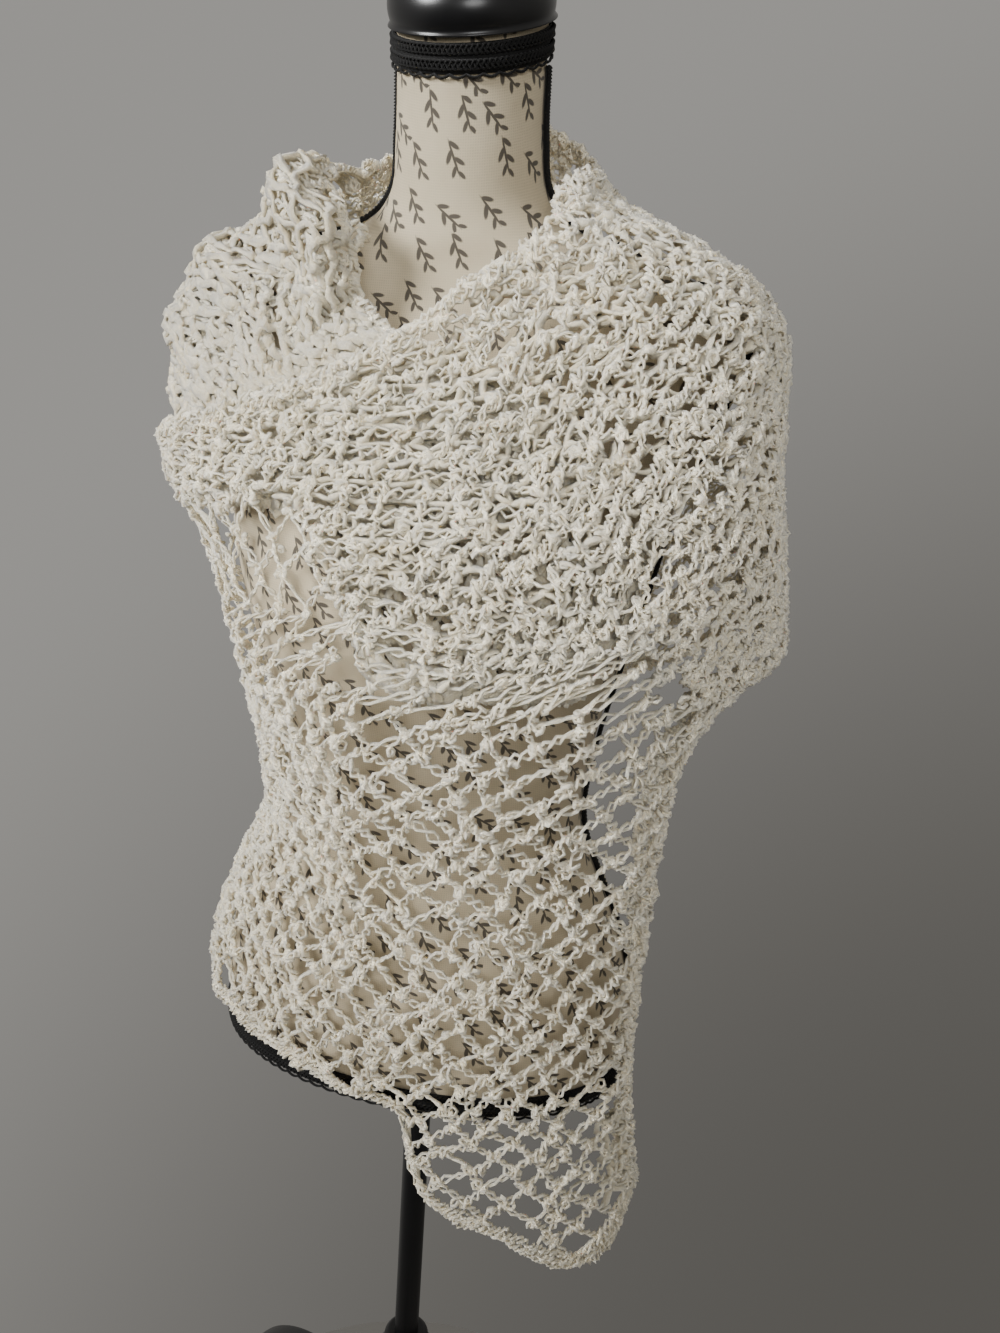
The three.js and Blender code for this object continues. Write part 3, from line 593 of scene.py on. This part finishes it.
def chain(net, across, along):
    """Lines of yarn from each place to the next on a route over the sheet, in cells and rows."""
    s = np.linspace(0, 1, CURL_STEPS + 1)
    across, along = np.broadcast_arrays(across, along)
    return net_places(net, NET_LIFT)(mixed(across[:-1, None], across[1:, None], s),
                                     mixed(along[:-1, None], along[1:, None], s))


def side_chains(net, first, last):
    """Two chains along each border of a net, the second one a part of a cell further in."""
    return [chain(net, abs(border - inset), np.arange(first, last + 1))
            for border in (0, net[1]) for inset in SIDE_INSETS]


def end_chains(net, raised=0.0):
    """Three chains along a net's end, which are moved in by raised rows."""
    _, cells, rows, _ = net
    return [chain(net, np.arange(2 * cells + 1) / 2, rows - inset - raised)
            for inset in END_INSETS]


def curled_threads(lines, normals, load, draw, most):
    """Two threads curled round each line, so that they look like rings in a row, with random bulk,
    turns and thickness. The load says how fat each one is, and most is a line's largest bow."""
    count = len(lines)
    lines, across = bowed(lines, normals, draw, most)
    bulk = load * np.where(draw.random((count, 1)) < THIN_CHANCE, THIN_BULK,
                           draw.uniform(*BULK_RANGE, (count, 1)))
    curl = CURL_RADIUS * bulk * draw.uniform(*CURL_RANGE, (count, CURL_STEPS + 1))
    steps = (draw.uniform(*TWIST_RANGE, (count, CURL_STEPS + 1))
             * 2 * np.pi * HALF_ARCH_MM / CURL_MM / CURL_STEPS)
    phase = draw.uniform(0, 2 * np.pi, (count, 1)) + np.cumsum(steps, 1)
    thick = THREAD_RADIUS * np.sqrt(load) * draw.uniform(*THREAD_RANGE, (count, 1))
    parts = []
    for half_turn in (0, np.pi):
        thread = (lines + (curl * np.sin(phase + half_turn))[..., None] * across
                  + (CURL_FLAT * curl * np.cos(phase + half_turn))[..., None] * normals)
        thread = thread + draw.normal(0, CURL_JITTER, thread.shape)
        parts.append(swept(thread, normals, thick, YARN_SIDES))
    return parts


def knot_loops(centre, out, size, draw):
    """Rings of yarn round places, each about a random axis and with a random radius."""
    axis = unit(draw.normal(size=centre.shape))
    first_way = unit(np.cross(axis, out + LOOP_LEAN))
    second_way = np.cross(axis, first_way)
    angle = np.linspace(0, 2 * np.pi, LOOP_POINTS, endpoint=False)[None, :, None]
    wide = LOOP_RADIUS * size[:, None, None] * draw.uniform(*LOOP_RANGE, (len(centre), 1, 1))
    ring = ((centre + LOOP_LIFT * out)[:, None]
            + wide * (np.cos(angle) * first_way[:, None] + np.sin(angle) * second_way[:, None]))
    return swept(ring, axis[:, None], LOOP_THREAD, YARN_SIDES, True)


def everywhere(u, v):
    """One at each place."""
    return np.ones(np.broadcast(u, v).shape)


def yarn_piece(name, node, parts, tones):
    """One mesh of all the tubes, with the tone of each as an attribute."""
    made = piece(name, *joined(parts), YARN, node, "lace")
    made.data.attributes.new("tone", "FLOAT", "POINT").data.foreach_set(
        "value", np.concatenate(tones).astype(np.float32))


def yarn_net(name, node, net, first, last, chains=(), keep=everywhere, weight=everywhere,
             most=MOST_BOW):
    """Crochet net on a sheet, from its first to its last row. Threads curl round each half arch and
    each line of the chains, and loops wind round each knot, more in every second row. For places
    across and along the sheet, keep says where the net is and weight how fat its yarn is."""
    _, cells, rows, seed = net
    draw = np.random.default_rng(seed)
    stray = draw.normal(0, KNOT_STRAY, (rows + 1, 2 * cells + 1, 2))
    stray[:, [0, -1], 0] = 0
    stray[[0, -1], :, 1] = 0
    place = net_places(net, NET_LIFT)
    a, j, side = half_arches(cells, first, last)
    inside = (keep(a / cells, j / rows) > 0) & (keep((a + side) / cells, (j + 1) / rows) > 0)
    a, j, side = a[inside], j[inside], side[inside]
    arches, load = len(a), weight(a / cells, j / rows)
    s = np.linspace(0, 1, CURL_STEPS + 1)
    curve = mixed(s, s ** 2 * (3 - 2 * s), ARCH_CURVE)
    shift = mixed(stray[j, (2 * a).astype(int)][:, None],
                  stray[j + 1, (2 * (a + side)).astype(int)][:, None], s[:, None])
    lines, normals = place(a[:, None] + side[:, None] * curve + shift[..., 0],
                           j[:, None] + s + shift[..., 1])
    lines = np.concatenate([lines] + [some for some, _ in chains])
    normals = np.concatenate([normals] + [theirs for _, theirs in chains])
    load = np.concatenate([load, np.ones(len(lines) - arches)])[:, None]
    parts = curled_threads(lines, normals, load, draw, most)

    knot_rows = np.arange(first, last + 1 if last == rows else last)
    j, i = (x.ravel() for x in np.meshgrid(knot_rows, np.arange(cells + 1), indexing="ij"))
    a = i + 0.5 * (j % 2)
    inside = (a <= cells) & (keep(a / cells, j / rows) > 0)
    a, j = a[inside], j[inside]
    loops = np.repeat(np.arange(len(a)), np.choose(j % 2, LOOPS))
    shift = stray[j, (2 * a).astype(int)]
    spread = draw.normal(0, LOOP_SPREAD, (len(loops), 2))
    centre, out = place((a + shift[:, 0])[loops] + spread[:, 0],
                        (j + shift[:, 1])[loops] + spread[:, 1])
    parts.append(knot_loops(centre, out, weight(a / cells, j / rows)[loops], draw))
    tones = [np.repeat(draw.random(number), len(part[0]) // number)
             for part, number in zip(parts, (len(lines), len(lines), len(loops)))]
    yarn_piece(name, node, parts, tones)


def inner_layer(name, node, net, share):
    """The folded layer under a gathered net: single fat yarns, half a cell aside from the net's,
    kept with a chance that share gives for places across and along the sheet. Their tones are
    painted yellower and darker than the net's, as painted shade under it."""
    _, cells, rows, seed = net
    draw = np.random.default_rng(seed)
    a, j, side = half_arches(cells, 0, rows)
    keep = draw.random(len(a)) < share(a / cells, j / rows)
    a, j, side = (x[keep][:, None] for x in (a, j, side))
    s = np.linspace(0, 1, INNER_POINTS)
    lines, normals = net_places(net, INNER_LIFT)(np.clip(a + 0.5 + side * s, 0, cells), j + s)
    lines, _ = bowed(lines, normals, draw, MOST_BOW)
    lines = lines + draw.normal(0, INNER_JITTER, lines.shape)
    fat = INNER_RADIUS * draw.uniform(*INNER_RANGE, (len(a), INNER_POINTS))
    tones = [np.repeat(draw.uniform(*INNER_SHADED_TONES, len(a)), INNER_POINTS * YARN_SIDES)]
    yarn_piece(name, node, [swept(lines, normals, fat, YARN_SIDES)], tones)


# Back stretch: from the left shoulder round the back to the right one, as a cape with its upper
# edge standing at the neck. It hangs in five soft folds.
BACK_SECTIONS = [  # turn, upper and lower height, upper and lower lift over the drape
    (100, 630, 370, 1, 14), (122, 640, 330, 1, 8), (150, 650, 284, 1, 3), (180, 652, 266, 1, 3),
    (210, 648, 300, 1, 2), (235, 636, 396, 1, 1), (255, 630, 458, 1, 1)]
BACK_FOLDS = [  # place across at the start and end, height, width, from and to along the cloth
    (0.16, 0.14, 8, 0.06, 0.1, 1.3), (0.34, 0.33, 10, 0.07, 0.1, 1.3),
    (0.53, 0.55, 9, 0.07, 0.1, 1.3), (0.71, 0.75, 11, 0.07, 0.1, 1.3),
    (0.86, 0.90, 7, 0.05, 0.1, 1.1)]
BACK_CELLS, BACK_ROWS, BACK_SEED = 22, 27, 11


def back_sheet(u, v):
    """Upper to lower edge over u, and round from the left shoulder to the right over v."""
    turn = mixed(BACK_SECTIONS[0][0], BACK_SECTIONS[-1][0], v)
    section = smooth_rows(BACK_SECTIONS, row_where(BACK_SECTIONS, turn))
    _, upper, lower, upper_lift, lower_lift = np.moveaxis(section, -1, 0)
    lift = mixed(upper_lift, lower_lift, u ** 3) + fold_height(BACK_FOLDS, v, u)
    return draped(turn, mixed(upper, lower, u), lift)


points, normals = laid_out(back_sheet, even_rows(back_sheet))
net = ((points, -normals), BACK_CELLS, BACK_ROWS, BACK_SEED)
yarn_net("net_back", "shawl_back", net, 0, BACK_ROWS, side_chains(net, 0, BACK_ROWS))

# Shoulder stretch: the other end, over the right shoulder with a standing fold beside the neck,
# then down under the front stretch, where it ends on the chest.
SHOULDER_SECTIONS = [  # neck edge's turn and height, outer edge's turn and height
    (-105, 630, -105, 458), (-78, 630, -96, 455), (-50, 620, -87, 451), (-19, 600, -76, 444),
    (-13, 576, -62, 434), (-9, 547, -46, 425), (4, 522, -27, 430), (26, 486, -14, 424),
    (38, 436, -8, 396), (43, 388, -5, 356), (35, 332, 3, 322)]
SHOULDER_FOLDS = [
    (0.06, 0.11, 33, 0.065, 0.0, 0.47), (0.26, 0.30, 9, 0.06, 0.02, 0.42),
    (0.55, 0.54, 6, 0.07, 0.04, 0.40), (0.78, 0.76, 5, 0.08, 0.04, 0.30)]
SHOULDER_LIFT, SHOULDER_CELLS, SHOULDER_ROWS, SHOULDER_SHOWN = 1, 22, 28, 21
SHOULDER_SEED, SHOULDER_INNER_SEED = 23, 29
SHOULDER_SPARSE, SPARSE_CHANCE, DENSE_CHANCE = (0.6, 0.75), 0.4, 0.95


def shoulder_sheet(u, v):
    """Neck edge to outer edge over u, and the shoulder's top to the end on the chest over v."""
    section = smooth_rows(SHOULDER_SECTIONS, v * (len(SHOULDER_SECTIONS) - 1))
    neck_turn, neck_height, outer_turn, outer_height = np.moveaxis(section, -1, 0)
    return draped(mixed(neck_turn, outer_turn, u), mixed(neck_height, outer_height, u),
                  SHOULDER_LIFT + fold_height(SHOULDER_FOLDS, u, v))


def shoulder_inner(u, v):
    """Chance of the inner layer's yarn, which is less where the net goes under the front."""
    dense = (v < SHOULDER_SPARSE[0]) | (v > SHOULDER_SPARSE[1])
    return np.where(dense, DENSE_CHANCE, SPARSE_CHANCE)


layout = laid_out(shoulder_sheet, even_rows(shoulder_sheet))
net = (layout, SHOULDER_CELLS, SHOULDER_ROWS, SHOULDER_SEED)
yarn_net("net_shoulder", "shawl_shoulder", net, 0, SHOULDER_SHOWN,
         side_chains(net, 0, SHOULDER_ROWS) + end_chains(net))
inner_layer("net_shoulder_inner", "shawl_shoulder", (*net[:3], SHOULDER_INNER_SEED),
            shoulder_inner)

# Front stretch: from the left shoulder across the chest to the right armpit, where it is gathered,
# and down to the hem. Its outer edge rolls in, and its corner hangs as a tail below the form.
FRONT_SECTIONS = [  # cowl edge's turn and height, outer edge's, gather, lifts, roll radius, width
    (100, 630, 100, 370, 0.3, 1, 14, 8, 3), (64, 630, 94, 362, 0.7, 4, 30, 9, 8),
    (34, 603, 87, 351, 1.0, 7, 28, 10, 16), (11, 569, 77, 336, 1.2, 8, 16, 11, 24),
    (-4, 517, 67, 316, 1.3, 8, 11, 12, 28), (-18, 490, 63, 288, 1.4, 8, 9, 12, 30),
    (-38, 472, 63, 250, 1.4, 9, 8, 12, 30), (-66, 460, 66, 205, 1.5, 8, 8, 12, 28),
    (-98, 438, 69, 155, 1.4, 5, 8, 9, 20), (-120, 370, 70, 105, 1.0, 2, 9, 6, 12),
    (-132, 250, 71, 55, 0.6, 2, 10, 6, 12), (-137, 130, 74, 0, 0.3, 3, 9, 8, 18),
    (-139, 22, 77, -85, 0.1, 5, 8, 9, 20)]
OUTER_EDGE = np.array(FRONT_SECTIONS)[::-1, [3, 2]].T
FRONT_FOLDS = [
    (0.04, 0.03, 9, 0.05, 0.05, 0.66), (0.15, 0.12, 7, 0.05, 0.06, 0.70),
    (0.26, 0.22, 8, 0.055, 0.08, 0.66), (0.38, 0.33, 6, 0.06, 0.06, 0.62),
    (0.52, 0.46, 6, 0.07, 0.10, 0.80), (0.66, 0.62, 5, 0.07, 0.08, 0.94),
    (0.80, 0.80, 6, 0.07, 0.12, 0.98)]
ROLL_START, EDGE_STEP, PLACE_HALVINGS = 0.9, 0.01, 24
HEM_POINTS = [  # turn and height along the hem
    (-140, 22), (-90, 20), (-40, 22), (-8, 19), (3, 14), (6, 6), (9, -40), (15, -66), (28, -82),
    (48, -114), (62, -106), (78, -70)]
HEM_START = 0.74
FRONT_CELLS, FRONT_ROWS, FRONT_SEED, FRONT_INNER_SEED = 26, 63, 37, 43
SHOULDER_END, CHEST_END = 18, 46


def front_section(along):
    """The columns of the front's table at shares along it."""
    return np.moveaxis(smooth_rows(FRONT_SECTIONS, along * (len(FRONT_SECTIONS) - 1)), -1, 0)


def front_height(turn, straight, along):
    """The height of a straight cross line, turned smoothly into the hem's towards the end."""
    hem = smooth_rows(HEM_POINTS, row_where(HEM_POINTS, turn))[..., 1]
    fade = ramp(along, HEM_START, 1 - HEM_START)
    return mixed(straight, hem, fade ** 2 * (3 - 2 * fade))


def front_flat(across, along):
    """Cowl edge to outer edge over across, crowded to the cowl edge by an exponential gather, and
    from the left shoulder to the hem over along, where the height turns into the hem's."""
    cowl_turn, cowl, outer_turn, outer, gather, cowl_lift, outer_lift = front_section(along)[:7]
    share = np.expm1(gather * across) / np.expm1(gather)
    turn = mixed(cowl_turn, outer_turn, share)
    height = front_height(turn, mixed(cowl, outer, share), along)
    lift = mixed(cowl_lift, outer_lift, share ** 3) + fold_height(FRONT_FOLDS, across, along)
    return draped(turn, height, lift)


def ungathered(share, gather):
    """The share across whose gather gives this share: the gather's exponential turned round."""
    return np.log1p(share * np.expm1(gather)) / gather


def flat_share(u):
    """Shares across the flat part of the front sheet, up to the roll's start."""
    return np.minimum(u / ROLL_START, 1)


def with_roll(across, u):
    """Shares across the front sheet from those across its flat part, and u itself in the roll."""
    return np.where(u <= ROLL_START, ROLL_START * across, u)


def front_sheet(u, v):
    """The flat front, and past the roll's start a circle of the roll's radius under its edge."""
    radius, width = front_section(v)[7:]
    one = np.ones_like(u)
    edge = front_flat(one, v)
    across = unit(edge - front_flat((1 - EDGE_STEP) * one, v))
    along = (front_flat(one, np.minimum(v + EDGE_STEP, 1))
             - front_flat(one, np.maximum(v - EDGE_STEP, 0)))
    normal = unit(np.cross(along, across))
    angle = width / radius * np.maximum(u - ROLL_START, 0) / (1 - ROLL_START)
    rolled = (edge + (radius * np.sin(angle))[..., None] * across
              - (radius * (1 - np.cos(angle)))[..., None] * normal)
    return np.where((u <= ROLL_START)[..., None], front_flat(flat_share(u), v), rolled)


def wrapped_sheet(u, v):
    """The front sheet with its columns at even shares of each cross line."""
    return front_sheet(with_roll(ungathered(flat_share(u), front_section(v)[4]), u), v)


# Chest of the front stretch: above this edge the cloth is double, and its net follows the wrap.
# Over the left shoulder's outer part the net lies open.
DOUBLE_EDGE = np.array([  # turn and height along the lower edge of the double layer
    (-140, 440), (-40, 428), (-18, 440), (-8, 388), (3, 331), (16, 351), (29, 365), (43, 373),
    (63, 336)]).T
DOUBLE_OVERLAP, DOUBLE_FADE, DOUBLE_END = 8, 30, 0.7
OPEN_ACROSS, OPEN_ALONG, OPEN_THIN, OPEN_LOSS = (0.35, 0.2), (0.34, -0.1), 0.25, 0.9
INNER_SLOPE, INNER_CHANCES, TAIL_FROM, TAIL_CHANCE = 1.35, (0.5, 0.95), 0.84, 0.9
FRONT_SPACING = even_rows(wrapped_sheet)


def above_edge(u, v):
    """How far places of the wrapped net lie above the double layer's edge."""
    cowl_turn, cowl, outer_turn, outer = front_section(np.interp(v, *FRONT_SPACING))[:4]
    turn = mixed(cowl_turn, outer_turn, flat_share(u))
    return mixed(cowl, outer, flat_share(u)) - np.interp(turn, *DOUBLE_EDGE)


def open_part(u, v):
    """One over the left shoulder's outer part, where one layer of net lies, falling to zero."""
    return ramp(u, *OPEN_ACROSS) * ramp(v, *OPEN_ALONG)


def front_inner(u, v):
    """Chance of the inner layer's yarn: it is under the chest, less towards the outer edge and
    hardly in the open part, and in the tail's rolled edge."""
    chest = (ramp(above_edge(u, v), 0, DOUBLE_FADE) * (v < DOUBLE_END)
             * np.clip(INNER_SLOPE - u, *INNER_CHANCES) * (1 - OPEN_LOSS * open_part(u, v)))
    return chest + TAIL_CHANCE * (u > TAIL_FROM) * (v > TAIL_FROM)


layout = laid_out(wrapped_sheet, FRONT_SPACING)
front = (layout, FRONT_CELLS, FRONT_ROWS, FRONT_SEED)
for name, first, last in (("net_front_shoulder", 0, SHOULDER_END),
                          ("net_front_chest", SHOULDER_END, CHEST_END)):
    yarn_net(name, "shawl_front", front, first, last, side_chains(front, first, last),
             keep=lambda u, v: above_edge(u, v) > -DOUBLE_OVERLAP,
             weight=lambda u, v: 1 - OPEN_THIN * open_part(u, v))
inner_layer("net_front_inner", "shawl_front", (*front[:3], FRONT_INNER_SEED), front_inner)

# Belly, hem and tail of the front stretch: one layer, which hangs with level rows and upright
# columns. The hem is drawn up at the right, clear of the form's braid.
UPRIGHT_CELLS, UPRIGHT_ROWS, UPRIGHT_SPLIT, UPRIGHT_SEED = 27, 42, 20, 53
UPRIGHT_TURN, UPRIGHT_SAMPLES, UPRIGHT_BOW = -139, 200, 2.2
UPRIGHT_HEIGHTS = np.array([(0, 470), (0.167, 330), (1, -120)]).T  # share along and height
HIP_HEIGHT, TAIL_SPREAD, LEAST_SHARE = 60, 0.3, 0.01
HEM_INSET = 0.4
HEM_RAISED = np.array([(0, 2.7), (0.4, 2.7), (0.52, 2.1), (0.58, 0)]).T  # share across and rows
ARMPIT_HEIGHT, ARMPIT_TURN, ARMPIT_THIN = (310, 40), (10, -15), 0.35


def front_place(turn, height):
    """Shares across and along the flat front of places given by turn and height: the share along
    is found by halving its range, because the cross lines only come lower towards the hem."""
    low, high = 0 * turn, 0 * turn + 1
    for _ in range(PLACE_HALVINGS):
        along = (low + high) / 2
        cowl_turn, cowl, outer_turn, outer, gather = front_section(along)[:5]
        share = (turn - cowl_turn) / (outer_turn - cowl_turn)
        lower = front_height(turn, mixed(cowl, outer, share), along) < height
        low, high = np.where(lower, low, along), np.where(lower, along, high)
    return ungathered(np.clip(share, 0, 1), gather), along, share


def upright_place(u, v):
    """Shares across and along the front sheet of places on upright columns and level rows, and
    their turns and heights. Columns stand at even lengths round the hips from the back to the
    outer edge, whose turn is read at the row's height, and they spread away from that edge in the
    tail."""
    u, v = np.clip(u, 0, 1), np.clip(v, 0, 1)
    height = np.interp(v, *UPRIGHT_HEIGHTS)
    last_turn = FRONT_SECTIONS[-1][2]
    around = np.linspace(UPRIGHT_TURN, last_turn, UPRIGHT_SAMPLES)
    length = lengths(ring_point(DRAPE_RINGS, around, HIP_HEIGHT + 0 * around))
    even = np.interp(flat_share(u), length / length[-1], around)
    spread = 1 + TAIL_SPREAD * ramp(height, HIP_HEIGHT, UPRIGHT_HEIGHTS[1, -1] - HIP_HEIGHT)
    turn = np.interp(height, *OUTER_EDGE) - spread * (last_turn - even)
    across, along, share = front_place(turn, height)
    return with_roll(across, u), along, share, turn, height


def upright_sheet(u, v):
    """The front sheet at the places of upright columns and level rows."""
    return front_sheet(*upright_place(u, v)[:2])


def below_chest(u, v):
    """Places of the upright net that lie on the cloth and below the double layer's edge."""
    _, along, share, turn, height = upright_place(u, v)
    raised = HEM_INSET + np.interp(ROLL_START * share, *HEM_RAISED)
    end = np.interp(1 - raised / FRONT_ROWS, *FRONT_SPACING)
    above = np.interp(turn, *DOUBLE_EDGE) + DOUBLE_OVERLAP
    return (share > LEAST_SHARE) & (height < above) & (along < end)


def light_side(u, v):
    """Weight of the upright net's yarn: less below the right armpit, where it is pulled thin."""
    *_, turn, height = upright_place(u, v)
    return 1 - ARMPIT_THIN * ramp(height, *ARMPIT_HEIGHT) * ramp(turn, *ARMPIT_TURN)


upright = (laid_out(upright_sheet), UPRIGHT_CELLS, UPRIGHT_ROWS, UPRIGHT_SEED)
raised = np.interp(np.linspace(0, 1, 2 * FRONT_CELLS + 1), *HEM_RAISED)
for name, first, last, chains in (
        ("net_front_belly", 0, UPRIGHT_SPLIT, side_chains(front, CHEST_END, FRONT_ROWS)),
        ("net_front_hem", UPRIGHT_SPLIT, UPRIGHT_ROWS, end_chains(front, raised))):
    yarn_net(name, "shawl_front", upright, first, last, chains, keep=below_chest,
             weight=light_side, most=UPRIGHT_BOW)


# Floor: a plain pale disc of matt plaster under the stand, which shows its shadow.
FLOOR_PROFILE, FLOOR_SIDES = [(0, -3), (272, -3), (272, -0.2), (0, -0.2)], 96
PLASTER, *_ = new_material("pale matt floor", Base_Color=linear("#b4b2ae"), Roughness=0.8)
rings_piece("floor", turned(FLOOR_PROFILE, FLOOR_SIDES), PLASTER)

# Light: one large soft window to the left in front, a weak fill from in front, and a grey room
# that is darker to the lower right and towards its floor.
ROOM = "#9c9a96"
DARK_SIDES = [  # direction, cosine from it where the room starts to darken and ends, colour
    ((0.45, 0.45, -0.77), 0.15, 1.0, "#585652"), ((0.0, -0.6, -0.8), 0.3, 0.9, "#4a4845")]
LIGHTS = [  # name, place, aim, radius, angle and power
    ("window", (-1.7, -1.6, 2.0), (-0.14, -0.05, 1.14), 0.6, 28, 630),
    ("front fill", (0.5, -1.5, 1.5), (0.12, -0.05, 1.1), 0.35, 46, 40)]
world = bpy.data.worlds.new("grey room")
bpy.context.scene.world = world
world.use_nodes = True
tree = world.node_tree
way = add(tree, "TexCoord")["Generated"]
room = linear(ROOM)
for side, start, end, colour in DARK_SIDES:
    near = add(tree, "VectorMath", {0: way, 1: side}, operation="DOT_PRODUCT")["Value"]
    share = add(tree, "MapRange", {"Value": near, "From Min": start, "From Max": end},
                interpolation_type="SMOOTHSTEP")["Result"]
    room = add(tree, "Mix", {"Factor": share, "A": room, "B": linear(colour)},
               data_type="RGBA")["Result"]
tree.links.new(room, tree.nodes["Background"].inputs["Color"])
for name, place, aim, radius, angle, power in LIGHTS:
    lamp = bpy.data.lights.new(name, "SPOT")
    lamp.energy, lamp.shadow_soft_size = power, radius
    lamp.spot_size, lamp.spot_blend = np.radians(angle), 1.0
    made = bpy.data.objects.new(name, lamp)
    made.location = place
    made.rotation_euler = (Vector(aim) - Vector(place)).to_track_quat("-Z", "Y").to_euler()
    bpy.context.scene.collection.objects.link(made)

# Camera: the photograph's place, fitted to the form's neck, bottom edge, shoulders and pole.
FOCAL_PX, IMAGE_HEIGHT, SENSOR_MM = 1052.4, 1333, 36
DISTANCE_MM, HEIGHT_MM, NEAREST = 730.5, 1150.3, 0.02
ROUND, PAN, PITCH, ROLL = np.radians([16.7, 3.33, 16.92, 3.99])


def spun(first, second, angle):
    """Two directions at a right angle, turned in their plane from the first to the second."""
    return (first * np.cos(angle) + second * np.sin(angle),
            second * np.cos(angle) - first * np.sin(angle))


ahead = np.array([-np.sin(ROUND), np.cos(ROUND), 0])
right = np.array([np.cos(ROUND), np.sin(ROUND), 0])
eye = (-DISTANCE_MM * ahead + [0, 0, HEIGHT_MM]) / 1000 + AXIS
ahead, right = spun(ahead, right, PAN)
ahead, down = spun(ahead, np.array([0, 0, -1.0]), PITCH)
right, up = spun(right, -down, ROLL)
lens = bpy.data.cameras.new("camera")
lens.sensor_width, lens.clip_start = SENSOR_MM, NEAREST
lens.lens = SENSOR_MM * FOCAL_PX / IMAGE_HEIGHT
camera = bpy.data.objects.new("camera", lens)
camera.matrix_world = Matrix([*np.column_stack([right, up, -ahead, eye]).tolist(), [0, 0, 0, 1]])
bpy.context.scene.collection.objects.link(camera)
bpy.context.scene.camera = camera
